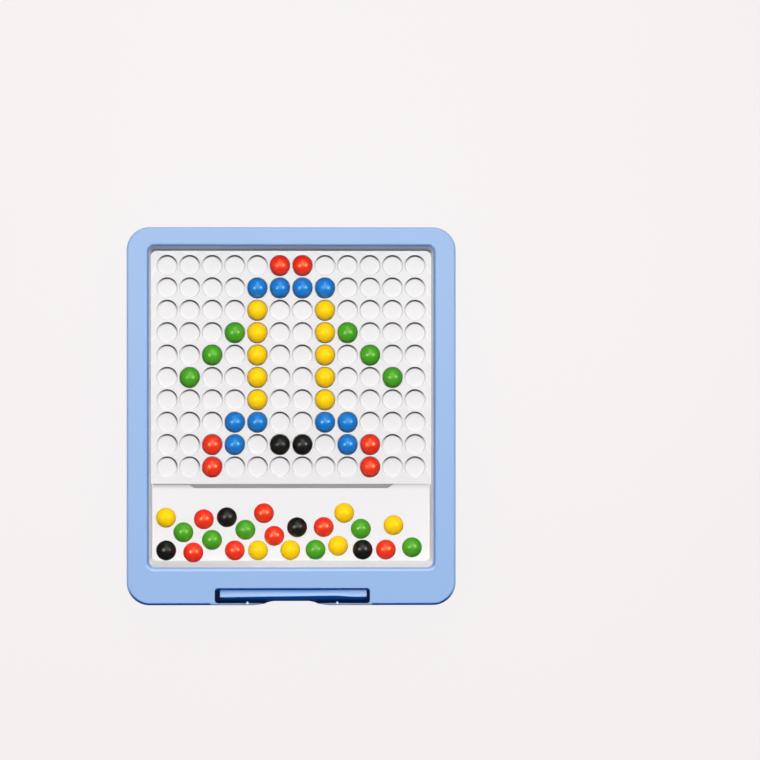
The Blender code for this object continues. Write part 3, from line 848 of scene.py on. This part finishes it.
def back_cover():
    """The pan with its tongue, its posts and the screws' recesses."""
    pan = board_block("back_pan", 0.0, 0.0, SPLIT_LEVEL - GAP)
    round_over(pan, BACK_EDGE_RADIUS, 5, lambda edge: level(edge, 0.0))
    tongue = board_block("tongue", SKIRT_WALL + GAP, SPLIT_LEVEL - 2 * OVERRUN,
                         SPLIT_LEVEL + LAP_HEIGHT)
    cut(pan, tongue, "UNION")
    hollow = board_block("back_hollow", SHELL_WALL, BACK_FLOOR, SPLIT_LEVEL + LAP_HEIGHT + OVERRUN)
    at_screws(hollow, "DIFFERENCE", 0.0, BOSS_LEVEL - GAP, BOSS_FOOT_RADIUS)
    cut(pan, hollow)
    at_screws(pan, "DIFFERENCE", BOSS_LEVEL - GAP, FACE_LEVEL, BOSS_RADIUS + GAP)
    at_screws(pan, "DIFFERENCE", -OVERRUN, SCREW_HEAD_DEPTH, SCREW_HEAD_HOLE)
    at_screws(pan, "DIFFERENCE", 0.0, BOSS_LEVEL, PILOT_RADIUS)

    def on_recess(edge):
        """True for an edge between the underside and a screw's recess."""
        near = any(abs((edge.verts[0].co.xy - place.xy).length - SCREW_HEAD_HOLE) < RECESS_REACH
                   for place in SCREW_PLACES.values())
        return level(edge, 0.0) and near and any(
            abs(face.normal.z) < 0.5 for face in edge.link_faces)

    count = round_over(pan, RECESS_EDGE_RADIUS, 3, on_recess)
    print("recess rims rounded along", count, "edges")
    return pan


back_pan = back_cover()
complete(back_pan, SHELL, "blue_shell", "root", "back_cover")

# %% [markdown]
# ## Dot board
# The white tray is a thin moulding with leaning walls. Its upper part is a raised plate with 120
# round sockets in twelve columns and ten rows, and a short ramp leads down from it to the
# reservoir. One socket's tool is modelled with a rounded foot and a flared mouth, an Array makes
# the whole grid of it, and one Boolean cuts all the sockets at once.

# %% Tray body
TRAY_WALL = 1.6 * MM
TRAY_CORNER_RADIUS = 3.8 * MM
SIDE_DRAFT = 2.2 * MM
END_DRAFT = 4.2 * MM
FLANGE_THICKNESS = 1.4 * MM
PLATE_LEVEL = SOCKET_LEVEL + 2.6 * MM
RESERVOIR_ROWS = 3.45
RAMP_COLUMNS = 9.14
RAMP_RUN = 3.0 * MM
RAMP_TAPER = 4.0 * MM
FLOOR_FILLET = 1.1 * MM

FLOOR_LOW = WINDOW_LOW + Vector((SIDE_DRAFT, END_DRAFT))
FLOOR_HIGH = WINDOW_HIGH - Vector((SIDE_DRAFT, END_DRAFT))
STEP_LINE = FLOOR_LOW.y + RESERVOIR_ROWS * ROW_PITCH
RAMP_HALF = RAMP_COLUMNS * COLUMN_PITCH / 2


def leaning_block(name, wall, low, high):
    """The tray's shape as a block: the reservoir floor's outline below, the window's above."""
    mouth_low, mouth_high = WINDOW_LOW - Vector((wall, wall)), WINDOW_HIGH + Vector((wall, wall))
    floor_low, floor_high = FLOOR_LOW - Vector((wall, wall)), FLOOR_HIGH + Vector((wall, wall))
    block = rounded_block(name, (*mouth_low, low), (*mouth_high, high), TRAY_CORNER_RADIUS, 12)
    shrink = [(floor_high[i] - floor_low[i]) / (mouth_high[i] - mouth_low[i]) for i in (0, 1)]
    shift = (floor_low + floor_high - mouth_low - mouth_high) / 2
    with editing(block, "VERT"):
        choose(block, "verts", lambda vert: vert.co.z < low + TINY)
        bpy.ops.transform.resize(value=(*shrink, 1.0))
        bpy.ops.transform.translate(value=(*shift, 0.0))
    return block


def ramp():
    """The wedge that joins the plate's edge to the reservoir floor, as a block with a slope."""
    wedge = rounded_block("ramp", (-RAMP_HALF, STEP_LINE - RAMP_RUN, FLOOR_LEVEL - OVERRUN),
                          (RAMP_HALF, STEP_LINE + 2 * OVERRUN, PLATE_LEVEL), 0.0)
    fall = (PLATE_LEVEL - FLOOR_LEVEL + OVERRUN) / (PLATE_LEVEL - FLOOR_LEVEL)
    with editing(wedge, "VERT"):
        choose(wedge, "verts", lambda vert: vert.co.y < STEP_LINE and vert.co.z > FLOOR_LEVEL)
        bpy.ops.transform.translate(value=(0.0, RAMP_RUN, 0.0))
        choose(wedge, "verts", lambda vert: vert.co.y < STEP_LINE - TINY)
        bpy.ops.transform.translate(value=(0.0, RAMP_RUN * (1 - fall), 0.0))
        narrow = (RAMP_HALF - RAMP_TAPER * fall) / RAMP_HALF
        bpy.ops.transform.resize(value=(narrow, 1.0, 1.0))
    return wedge


def tray_body():
    """The tray as a solid block with its flange."""
    tray = leaning_block("tray_moulding", TRAY_WALL, TRAY_LOW.z,
                         TRAY_HIGH.z - FLANGE_THICKNESS / 2)
    reach = TRAY_HIGH.x - WINDOW_HIGH.x
    flange = rounded_block("flange", (WINDOW_LOW.x - reach, WINDOW_LOW.y - reach,
                                      TRAY_HIGH.z - FLANGE_THICKNESS),
                           (WINDOW_HIGH.x + reach, WINDOW_HIGH.y + reach, TRAY_HIGH.z),
                           WINDOW_RADIUS + reach, 12)
    cut(tray, flange, "UNION")
    return tray


# %% Tray cavity with the plate left standing in it
def tray_cavity():
    """The room inside the tray, without the plate and the ramp."""
    cavity = leaning_block("cavity", 0.0, FLOOR_LEVEL, TRAY_HIGH.z + TINY)
    round_over(cavity, FLOOR_FILLET, 4, lambda edge: level(edge, FLOOR_LEVEL))
    plate = rounded_block("plate", (-HALF_WIDTH, STEP_LINE, FLOOR_LEVEL - OVERRUN),
                          (HALF_WIDTH, HALF_HEIGHT, PLATE_LEVEL), 0.0)
    cut(plate, ramp(), "UNION")
    cut(cavity, plate)
    return cavity


# %% Sockets
SOCKET_RADIUS = BEAD_RADIUS + 0.3 * MM
SOCKET_FILLET = 1.5 * MM
SOCKET_FILLET_STEPS = 7
SOCKET_MOUTH = 0.28 * MM
SOCKET_MOUTH_RISE = 0.02 * MM
SOCKET_MOUTH_STEPS = 4
SOCKET_SIDES = 48


def socket_tools():
    """All 120 sockets as one mesh of round plugs with rounded feet and flared mouths."""
    tool = post("socket_tool", FIRST_SOCKET.x, FIRST_SOCKET.y, SOCKET_LEVEL,
                PLATE_LEVEL - SOCKET_MOUTH, SOCKET_RADIUS, SOCKET_SIDES)
    round_over(tool, SOCKET_FILLET, SOCKET_FILLET_STEPS, lambda edge: level(edge, SOCKET_LEVEL))
    with editing(tool, "FACE"):
        choose(tool, "faces", lambda face: face.normal.z > 0.9)
        radius, height = SOCKET_RADIUS, PLATE_LEVEL - SOCKET_MOUTH
        for step in range(1, SOCKET_MOUTH_STEPS + 1):
            angle = math.radians(90 * step / SOCKET_MOUTH_STEPS)
            wide = SOCKET_RADIUS + SOCKET_MOUTH * (1 - math.cos(angle))
            top = PLATE_LEVEL + SOCKET_MOUTH_RISE - SOCKET_MOUTH * (1 - math.sin(angle))
            bpy.ops.mesh.extrude_region_move(
                TRANSFORM_OT_translate={"value": (0.0, 0.0, top - height)})
            bpy.ops.transform.resize(value=(wide / radius, wide / radius, 1.0))
            radius, height = wide, top
        bpy.ops.mesh.extrude_region_move(TRANSFORM_OT_translate={"value": (0.0, 0.0, OVERRUN)})
    for count, offset in ((COLUMNS, (COLUMN_PITCH, 0.0, 0.0)), (ROWS, (0.0, -ROW_PITCH, 0.0))):
        apply_modifier(tool, "ARRAY", count=count, use_relative_offset=False,
                       use_constant_offset=True, constant_offset_displace=offset)
    return tool


# %% [markdown]
# ## White tray plastic
# The tray is thin white plastic with a soft shine. Rolling beads polish tiny paths in it, and the
# mould leaves a very shallow ripple on the flat floor. It is evenly white, and painted shade
# darkens
# what turns away from the light: a grey crescent on the upper wall of each socket, the ramp, the
# walls at the top and the bottom, and a soft line at the foot of the step. The painted crescents
# lean to the right, the more the further left and the lower they lie. Painted light makes the rest
# of each socket's mouth, the insides of the sockets, the reservoir and the side walls a little
# brighter than the plate, and the wall at the top takes painted blue light bounced from the frame.
#
# The light casts no shadow, so a socket with a bead in it would look as open as an empty one. The
# tray's points inside such a socket hold a value, and where it is 1 the painted crescent is weaker
# and a painted shadow of the bead darkens the lower wall.

# %% Painted shade and light in the sockets
SHADE_MIDDLE = 60 * MM
SHADE_LEAN = 3.0
SHADE_LEAN_FALL = 18.6
CRESCENT_SPAN = (0.12, 0.98)
CRESCENT_WALL = (SOCKET_RADIUS - 1.5 * MM, SOCKET_RADIUS - 0.55 * MM)
IN_SOCKET = (PLATE_LEVEL - 0.01 * MM, PLATE_LEVEL - 0.15 * MM)
ON_PLATE = (STEP_LINE, STEP_LINE + MM)
MOUTH_SPAN = (0.45, -0.55)
MOUTH_INSIDE = (SOCKET_RADIUS - 0.6 * MM, SOCKET_RADIUS - 0.2 * MM)
MOUTH_OUTSIDE = (SOCKET_RADIUS + 0.5 * MM, SOCKET_RADIUS + 0.3 * MM)
# Painted shadow of a seated bead, and how much it weakens the painted crescent
SEAT_SPAN = (-0.35, -0.90)
SEAT_SHADE = 0.97
SEAT_LIGHT = 0.35


def socket_shade(place):
    """Painted shade on socket walls and under seated beads, and painted light on the mouths."""
    x, y, z = place.axes()
    across, up = x - FIRST_SOCKET.x, y - FIRST_SOCKET.y
    across = across.maths("WRAP", across, COLUMN_PITCH / 2, -COLUMN_PITCH / 2)
    up = up.maths("WRAP", up, ROW_PITCH / 2, -ROW_PITCH / 2)
    reach = across * across + up * up
    reach = reach.maths("SQRT", reach)
    turn = (SHADE_MIDDLE - x) * (SHADE_LEAN - SHADE_LEAN_FALL * y)
    upper = reach.maths("DIVIDE", up + turn * across, reach)
    on_plate = y.ramp(*ON_PLATE)
    # 1 inside a socket that holds a bead, for the bead's painted shadow
    seat = place.node("ShaderNodeAttribute", {"attribute_name": "seat_shade"}, output="Fac")
    crescent = upper.ramp(*CRESCENT_SPAN) * reach.ramp(*CRESCENT_WALL) * z.ramp(*IN_SOCKET)
    crescent = crescent * on_plate * (1 - SEAT_LIGHT * seat)
    mouth = upper.ramp(*MOUTH_SPAN) * reach.ramp(*MOUTH_INSIDE) * reach.ramp(*MOUTH_OUTSIDE)
    # Painted shadow of a seated bead on the lower wall of its socket
    seat = SEAT_SHADE * seat * upper.ramp(*SEAT_SPAN)
    return crescent.maths("MAXIMUM", crescent, seat), mouth * on_plate


# %% Painted shade on the step and the walls
RAMP_SHADE = 0.27
RAMP_FACE = (FLOOR_LEVEL + 0.1 * MM, FLOOR_LEVEL + 0.4 * MM)
RAMP_HEAD = (PLATE_LEVEL, PLATE_LEVEL - 0.2 * MM)
RAMP_NEAR = (STEP_LINE - RAMP_RUN - 0.5 * MM, STEP_LINE - RAMP_RUN)
RAMP_FAR = (STEP_LINE + 0.2 * MM, STEP_LINE)
RAMP_SIDES = (RAMP_HALF + MM, RAMP_HALF)
FOOT_SHADE = 0.46
FOOT_WIDE = (STEP_LINE - 4.0 * MM, STEP_LINE)
FOOT_CLOSE = (STEP_LINE - 1.2 * MM, STEP_LINE + 0.2 * MM)
FOOT_LEVEL = (FLOOR_LEVEL + 0.2 * MM, FLOOR_LEVEL + 0.1 * MM)
FOOT_RIGHT = (-60 * MM, 60 * MM)
FOOT_RIGHT_LOSS = 0.4
LOW_WALL_SHADE = 0.15
LOW_WALL_LEFT_SHADE = 0.13
LOW_WALL_LEFT = (MM, -80 * MM)
LOW_WALL_MITRE = (0.0, 0.15)
LOW_WALL_FOOT = (FLOOR_LOW.y + 0.2 * MM, FLOOR_LOW.y - 0.3 * MM)
TOP_WALL_SHADE = 0.76
TOP_WALL_FACE = (FLOOR_HIGH.y - MM, FLOOR_HIGH.y + MM)
TOP_WALL_FOOT = (PLATE_LEVEL + 0.9 * MM, PLATE_LEVEL + 1.9 * MM)
TOP_WALL_MIDDLE = (PLATE_LEVEL + 3.5 * MM, PLATE_LEVEL + 5.0 * MM)
TOP_WALL_MIDDLE_LOSS = 0.50
TOP_WALL_HEAD = (PLATE_LEVEL + 6.0 * MM, TRAY_HIGH.z - 2 * MM)
TOP_WALL_HEAD_LOSS = 0.20


def step_shade(place):
    """What the ramp, the foot of the step and the walls at the top and the bottom lack in light."""
    x, y, z = place.axes()
    slope = z.ramp(*RAMP_FACE) * z.ramp(*RAMP_HEAD) * y.ramp(*RAMP_NEAR) * y.ramp(*RAMP_FAR)
    slope = RAMP_SHADE * slope * abs(x).ramp(*RAMP_SIDES)
    foot = FOOT_SHADE * y.ramp(*FOOT_WIDE) + FOOT_SHADE * y.ramp(*FOOT_CLOSE)
    foot = foot * (1 - FOOT_RIGHT_LOSS * x.ramp(*FOOT_RIGHT)) * z.ramp(*FOOT_LEVEL)
    mitre = (FLOOR_LOW.y - y) * (1 / END_DRAFT) - (abs(x) - FLOOR_HIGH.x) * (1 / SIDE_DRAFT)
    low_wall = LOW_WALL_SHADE + LOW_WALL_LEFT_SHADE * x.ramp(*LOW_WALL_LEFT)
    low_wall = low_wall * mitre.ramp(*LOW_WALL_MITRE) * y.ramp(*LOW_WALL_FOOT)
    top_wall = TOP_WALL_SHADE - TOP_WALL_MIDDLE_LOSS * z.ramp(*TOP_WALL_MIDDLE)
    top_wall = top_wall - TOP_WALL_HEAD_LOSS * z.ramp(*TOP_WALL_HEAD)
    top_wall = top_wall * y.ramp(*TOP_WALL_FACE) * z.ramp(*TOP_WALL_FOOT)
    return slope.maths("MAXIMUM", slope, foot.maths("MAXIMUM", foot, top_wall)) + low_wall


# %% White tray finish
TRAY_WHITE = (0.664, 0.645, 0.640)
TRAY_WARM = (0.650, 0.631, 0.626)
# Painted light on the reservoir and inside the sockets
TRAY_PAINTED_LIGHT = (0.695, 0.674, 0.668)
# Painted light on the side and lower walls and on the lit side of each socket's mouth
TRAY_EDGE_PAINTED_LIGHT = (0.840, 0.825, 0.830)
# Painted shade with blue light bounced from the frame, on the wall at the top
TRAY_TOP_SHADE_AND_BOUNCE = (0.600, 0.660, 0.750)
TRAY_SHADE = (0.050, 0.050, 0.052)

RESERVOIR = (STEP_LINE + MM, STEP_LINE)
SOCKET_DEEP = (PLATE_LEVEL - 0.2 * MM, PLATE_LEVEL - 0.5 * MM)
SOCKET_LIGHT = 0.3
MOUTH_LIGHT = 0.4
SIDE_WALLS = (FLOOR_HIGH.x + 0.3 * MM, FLOOR_HIGH.x + 0.9 * MM)
LOW_WALL = (FLOOR_LOW.y, FLOOR_LOW.y - 0.4 * MM)
TOP_WALL = (FLOOR_HIGH.y + 0.9 * MM, FLOOR_HIGH.y + 1.2 * MM)


def tray_finish():
    """White plastic with painted shade and painted light by place."""
    material, place = new_finish("white_moulded_tray")
    clouds = place.noise(30 * MM, 3.0).ramp(0.25, 0.75)
    grain = place.noise(0.35 * MM, 2.0)
    rubbed = place.noise(5.5 * MM, 4.0, (1.0, 0.35, 1.0), 12.0).ramp(0.45, 0.70)
    shade, mouth = socket_shade(place)
    shade = shade.maths("MAXIMUM", shade, step_shade(place))
    x, y, z = place.axes()
    # Painted light: the reservoir and the insides of the sockets are brighter
    bright = y.ramp(*RESERVOIR)
    bright = bright.maths("MAXIMUM", bright, SOCKET_LIGHT * z.ramp(*SOCKET_DEEP))
    # Painted light: the side and lower walls are brighter
    walls = abs(x).ramp(*SIDE_WALLS)
    walls = walls.maths("MAXIMUM", walls, y.ramp(*LOW_WALL))
    white = bright.mix(clouds.mix(opaque(TRAY_WHITE), opaque(TRAY_WARM)), opaque(TRAY_PAINTED_LIGHT))
    white = walls.mix(white, opaque(TRAY_EDGE_PAINTED_LIGHT))
    # Painted light on the lit side of each socket's mouth
    white = (MOUTH_LIGHT * mouth).mix(white, opaque(TRAY_EDGE_PAINTED_LIGHT))
    # Painted shade with blue light bounced from the frame on the top wall
    white = y.ramp(*TOP_WALL).mix(white, opaque(TRAY_TOP_SHADE_AND_BOUNCE))
    return fill(material, {
        "Base Color": shade.mix(white, opaque(TRAY_SHADE)),
        "Roughness": 0.46 + 0.08 * clouds - 0.12 * rubbed,
        "Normal": bump(grain + 2.0 * rubbed, 0.008 * MM, 0.5),
        "Specular IOR Level": 0.42,
    })


TRAY = tray_finish()
print("made", TRAY.name)

# %% Dot board
SEATS = {tuple(int(part[3:]) for part in node.split("_")[1:3])
         for node in BEAD_NODES if "row" in node}


def mark_seats(tray):
    """Stores 1 on the tray's points inside the sockets that hold a bead, and 0 on all others."""
    marks = tray.data.attributes.new("seat_shade", "FLOAT", "POINT").data
    for vert, mark in zip(tray.data.vertices, marks):
        column = round((vert.co.x - FIRST_SOCKET.x) / COLUMN_PITCH)
        row = round((FIRST_SOCKET.y - vert.co.y) / ROW_PITCH)
        middle = FIRST_SOCKET + Vector((column * COLUMN_PITCH, -row * ROW_PITCH))
        inside = (vert.co.xy - middle).length < SOCKET_RADIUS + SOCKET_MOUTH / 3
        low = SOCKET_LEVEL - TINY < vert.co.z < PLATE_LEVEL - TINY
        mark.value = float(inside and low and (row + 1, column + 1) in SEATS)
    print(int(sum(mark.value for mark in marks)), "points lie under seated beads")


tray_moulding = tray_body()
cut(tray_moulding, tray_cavity())
cut(tray_moulding, socket_tools())
complete(tray_moulding, TRAY, "white_tray", "root", "dot_board")
mark_seats(tray_moulding)
for piece in (tray_moulding, frame_moulding, back_pan):
    piece.visible_glossy = False

# %% [markdown]
# ## Clear cover and magnet
# The cover is a plain flat sheet whose cut edge is hidden under the frame, and the magnet is
# hidden in the pen. Their measured shapes are right as they are, so both only get a finish.

# %% Carried over
for node, finish, slot in (("clear_cover", COVER, "clear_sheet"),
                           ("pen_magnet", MAGNET, "magnet_black")):
    piece = frame["nodes"][node]
    piece.data.materials.clear()
    piece.data.materials.append(finish)
print("clear cover and magnet dressed")

# %% [markdown]
# ## Pen
# The pen is a turned barrel with rounded ends. The plug that closes its right end is a separate
# piece, so a fine joint runs round the pen a few millimetres from that end.

# %% Pen
PEN_RADIUS = (PEN_HIGH.z - PEN_LOW.z) / 2
PEN_END_RADIUS = 1.1 * MM
PEN_END_WALL = 1.0 * MM
BORE_RADIUS = 2.5 * MM
SPIGOT_RADIUS = 2.2 * MM
PLUG_PLAY = 0.04 * MM
JOINT_EDGE_RADIUS = 0.04 * MM
PLUG_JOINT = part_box("pen_barrel")[1].x


def turned_bar(name, left, right, radius, sides=48):
    """A round bar along x on the pen's own axis."""
    bpy.ops.object.select_all(action="DESELECT")
    bpy.ops.mesh.primitive_cylinder_add(vertices=sides, radius=radius, depth=right - left,
                                        location=((left + right) / 2, PEN_MIDDLE.y, PEN_MIDDLE.z),
                                        rotation=(0.0, math.radians(90), 0.0))
    return named(name)


def at_end(place):
    """A test for the round edge of a bar's end."""
    return lambda edge: all(abs(vert.co.x - place) < TINY for vert in edge.verts)


barrel = turned_bar("pen_barrel_moulding", PEN_LOW.x, PLUG_JOINT, PEN_RADIUS)
round_over(barrel, PEN_END_RADIUS, 6, at_end(PEN_LOW.x))
round_over(barrel, JOINT_EDGE_RADIUS, 2, at_end(PLUG_JOINT))
cut(barrel, turned_bar("bore", PEN_LOW.x + PEN_END_WALL, PLUG_JOINT + OVERRUN, BORE_RADIUS))
complete(barrel, PEN, "pen_blue", "pen", "pen_barrel")

plug = turned_bar("pen_plug_moulding", PLUG_JOINT + PLUG_PLAY, PEN_HIGH.x, PEN_RADIUS)
round_over(plug, PEN_END_RADIUS, 6, at_end(PEN_HIGH.x))
round_over(plug, JOINT_EDGE_RADIUS, 2, at_end(PLUG_JOINT + PLUG_PLAY))
cut(plug, turned_bar("spigot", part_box("pen_plug")[0].x, PLUG_JOINT + OVERRUN, SPIGOT_RADIUS),
    "UNION")
complete(plug, PEN, "pen_blue", "pen", "pen_plug")

# %% [markdown]
# ## Screws
# Four small screws hold the back on. Each is a shank with a point, ridged like a thread, and a
# low head with a softened rim and a cross recess that faces down.

# %% Screws
HEAD_HEIGHT = 1.7 * MM
HEAD_EDGE_RADIUS = 0.45 * MM
SHANK_RADIUS = 1.05 * MM
SHANK_SINK = 0.4 * MM
POINT_SHARE = 0.35
THREAD_RADIUS = 1.3 * MM
THREAD_PITCH = 0.9 * MM
THREAD_HALF = 0.3 * THREAD_PITCH
THREAD_START = 0.8
THREAD_TURNS = 11
THREAD_SHARE = 0.72
CROSS_LENGTH = 3.0 * MM
CROSS_WIDTH = 0.8 * MM
CROSS_DEPTH = 0.9 * MM


def narrow_ends(piece, share, wanted):
    """Draws the chosen flat ends of a post in to a share of their width."""
    with editing(piece, "FACE"):
        choose(piece, "faces", wanted)
        bpy.ops.transform.resize(value=(share, share, 1.0))


def screw(node, place):
    """A screw with its head down, in the box of its node."""
    low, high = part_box(node)
    head_radius = (high.x - low.x) / 2
    head_top = low.z + HEAD_HEIGHT
    piece = post(node.replace("screw", "cover_screw"), place.x, place.y, low.z, head_top,
                 head_radius, 40)
    round_over(piece, HEAD_EDGE_RADIUS, 4, lambda edge: level(edge, low.z))
    shank = post("shank", place.x, place.y, head_top - SHANK_SINK, high.z, SHANK_RADIUS, 24)
    narrow_ends(shank, POINT_SHARE, lambda face: face.normal.z > 0.9)
    cut(piece, shank, "UNION")
    for turn in range(THREAD_TURNS):
        height = head_top + (turn + THREAD_START) * THREAD_PITCH
        ring = post("ridge", place.x, place.y, height - THREAD_HALF, height + THREAD_HALF,
                    THREAD_RADIUS, 24)
        narrow_ends(ring, THREAD_SHARE, lambda face: abs(face.normal.z) > 0.9)
        cut(piece, ring, "UNION")
    for wide, deep in ((CROSS_LENGTH, CROSS_WIDTH), (CROSS_WIDTH, CROSS_LENGTH)):
        slot = rounded_block(
            "cross", (place.x - wide / 2, place.y - deep / 2, low.z - OVERRUN),
            (place.x + wide / 2, place.y + deep / 2, low.z + CROSS_DEPTH), 0.0)
        cut(piece, slot)
    return piece


for node, place in SCREW_PLACES.items():
    complete(screw(node, place), STEEL, "screw_steel", BODY_OF[node], node)

# %% [markdown]
# ## Beads
# One bead is modelled with care and copied: a ball with a hair-thin ridge where the mould halves
# met and a tiny dimple at one pole where the plastic flowed in. Each copy is turned its own way,
# as beads that have rolled about are, with a seeded random choice, so that every run gives the
# same board. Matt surfaces don't see the beads, because the photograph shows none of their colour
# on the white tray.

# %% Bead model
BEAD_SEGMENTS, BEAD_RINGS = 48, 24
SEAM_RIDGE = 0.015 * MM
SEAM_RIDGE_WIDTH = 0.10 * MM
GATE_DIMPLE = 0.06 * MM
POLE_SHARE = 0.9995
ROLL_SEED = 7


def bead_model():
    """One ball at the middle, with its ridge and its dimple."""
    bpy.ops.object.select_all(action="DESELECT")
    bpy.ops.mesh.primitive_uv_sphere_add(segments=BEAD_SEGMENTS, ring_count=BEAD_RINGS,
                                         radius=BEAD_RADIUS - SEAM_RIDGE)
    ball = named("bead_model")
    with editing(ball, "EDGE"):
        choose(ball, "edges", lambda edge: level(edge, 0.0))
        bpy.ops.mesh.bevel(offset=SEAM_RIDGE_WIDTH, segments=2, affect="EDGES")
        choose(ball, "edges", lambda edge: level(edge, 0.0))
        ridge = BEAD_RADIUS / (BEAD_RADIUS - SEAM_RIDGE)
        bpy.ops.transform.resize(value=(ridge, ridge, 1.0))
    with editing(ball, "VERT"):
        choose(ball, "verts", lambda vert: vert.co.z > BEAD_RADIUS * POLE_SHARE)
        bpy.ops.transform.translate(value=(0.0, 0.0, -GATE_DIMPLE))
    bpy.ops.object.shade_smooth()
    return ball


ball = bead_model()
rolls = random.Random(ROLL_SEED)


def bead(name, place, colour):
    """A copy of the bead at a place, turned its own way."""
    mesh = ball.data.copy()
    mesh.name = name
    turn = Euler([rolls.uniform(-math.pi, math.pi) for _ in range(3)]).to_matrix().to_4x4()
    mesh.transform(Matrix.Translation(place) @ turn)
    mesh.materials.clear()
    mesh.materials.append(BEAD_SKINS[colour])
    piece = bpy.data.objects.new(name, mesh)
    bpy.context.scene.collection.objects.link(piece)
    piece.visible_diffuse = False
    "bead_" + colour
    return piece


# %% Beads of the model
for node in BEAD_NODES:
    colour = node.split("_")[-1]
    piece = bead("round_" + node, middle_of(node), colour)
    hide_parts(node)
    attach(piece, BODY_OF[node])
print(len(BEAD_NODES), "beads of the model")

# %% More loose beads
# How many columns each lies from the middle, and how many rows above the floor's low edge
MORE_LOOSE_BEAD_SHARES = (
    (-0.04, 0.49, "yellow"),
    (2.35, 2.15, "yellow"),
    (1.08, 0.51, "green"),
    (3.17, 0.51, "black"),
    (-4.34, 0.39, "red"),
    (-2.50, 0.48, "red"),
    (-1.21, 2.14, "red"),
    (4.20, 0.51, "red"),
)
next_number = 1 + sum(1 for node in BEAD_NODES if "loose" in node)
for number, (across, up, colour) in enumerate(MORE_LOOSE_BEAD_SHARES, next_number):
    place = Vector((across * COLUMN_PITCH, FLOOR_LOW.y + up * ROW_PITCH, LOOSE_LEVEL))
    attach(bead(f"round_loose_bead_{number}_{colour}", place, colour), "root")
bpy.data.objects.remove(ball, do_unlink=True)
print(len(MORE_LOOSE_BEAD_SHARES), "more loose beads")

# %% [markdown]
# ## Studio
# The photograph has one soft light above the board, set back beyond its top edge, that lights the
# face evenly. Its shadows are so faint that the light here casts none. A studio also holds large
# white panels that only show as reflections: here a broad one, two small ones left and right and
# one far back draw the soft crown of highlights on the upper half of each bead. They are lights
# that only gloss can see. Gloss doesn't see the case, the tray and the floor, so the lower half of
# each bead stays plain. The floor is pale and glows for the camera, and the air round the board
# has a strength of its own for the camera, for gloss and for matt surfaces.

# %% Lights
def area_light(name, place, aim, width, length):
    """A rectangle of light that the camera doesn't see."""
    data = bpy.data.lights.new(name, "AREA")
    data.shape = "RECTANGLE"
    data.size = width
    data.size_y = length
    light = bpy.data.objects.new(name, data)
    bpy.context.scene.collection.objects.link(light)
    light.location = place
    light.rotation_euler = (Vector(aim) - Vector(place)).to_track_quat("-Z", "Y").to_euler()
    light.visible_camera = False
    return light


def even_key(place, aim, width, length, brightness):
    """A diffuse light without fading or shadows, given by how bright it makes white paper."""
    light = area_light("key_light", place, aim, width, length)
    light.visible_glossy = False
    light.data.use_shadow = False
    light.data.energy = brightness * math.pi ** 2
    light.data.use_nodes = True
    tree = light.data.node_tree
    fall = tree.nodes.new("ShaderNodeLightFalloff")
    fall.inputs["Strength"].default_value = 1.0
    tree.links.new(fall.outputs["Constant"], tree.nodes["Emission"].inputs["Strength"])


def panel(name, place, aim, width, length, radiance):
    """A panel that shows only in gloss, given by how bright it looks."""
    light = area_light(name, place, aim, width, length)
    light.visible_diffuse = False
    light.data.energy = radiance * math.pi * width * length


MIDDLE = (0.0, 0.0, 0.0)
even_key((0.0, 0.36, 0.87), MIDDLE, 0.30, 0.30, 1.02)
panel("broad_panel", (0.12, 0.36, 0.88), MIDDLE, 1.00, 0.95, 1.80)
panel("far_panel", (0.0, 0.87, 0.50), MIDDLE, 0.32, 0.26, 4.2)
panel("left_panel", (-0.52, 0.03, 0.80), MIDDLE, 0.28, 0.28, 15.0)
panel("right_panel", (0.68, 0.15, 0.78), MIDDLE, 0.28, 0.28, 18.0)

# %% Floor and surroundings
FLOOR_SIZE = 12.0
FLOOR_GAP = 0.05 * MM
PAGE_WHITE = (0.892, 0.857, 0.850, 1.0)
FLOOR_GLOW = 0.75
FLOOR_LIGHT = 0.60
AIR_WHITE = (1.0, 0.985, 0.99, 1.0)
AIR_LIGHT = 0.37
AIR_GLOSS = 0.06
BACKDROP_WHITE = 0.90


def strength_for(tree, ray, strength, otherwise):
    """One strength for one kind of ray, and another for all the rest."""
    path = Socket(tree, None).node("ShaderNodeLightPath", output=ray)
    return path.node("ShaderNodeMapRange", {},
                     {"Value": path, "To Min": otherwise, "To Max": strength})


bpy.ops.object.select_all(action="DESELECT")
bpy.ops.mesh.primitive_plane_add(size=FLOOR_SIZE, location=(0.0, 0.0, -FLOOR_GAP))
floor = named("studio_floor")
floor_material, floor_place = new_finish("pale_floor")
patches = floor_place.noise(0.4, 2.0)
fill(floor_material, {
    "Base Color": patches.mix((0.21, 0.205, 0.21, 1.0), (0.19, 0.186, 0.19, 1.0)),
    "Roughness": 0.8,
    "Specular IOR Level": 0.0,
    "Emission Color": PAGE_WHITE,
    "Emission Strength": strength_for(floor_material.node_tree, "Is Camera Ray", FLOOR_GLOW,
                                      FLOOR_LIGHT),
})
floor.data.materials.append(floor_material)
floor.visible_glossy = False

world = bpy.data.worlds.new("studio_air")
bpy.context.scene.world = world
world.use_nodes = True
air = world.node_tree.nodes["Background"]
air.inputs["Color"].default_value = AIR_WHITE
unseen = strength_for(world.node_tree, "Is Glossy Ray", AIR_GLOSS, AIR_LIGHT)
seen = strength_for(world.node_tree, "Is Camera Ray", BACKDROP_WHITE, unseen)
connect(world.node_tree, seen, air.inputs["Strength"])
world.cycles.sampling_method = "NONE"
bpy.context.scene.view_settings.view_transform = "Standard"
print("floor of", FLOOR_SIZE, "metres and the air round it")
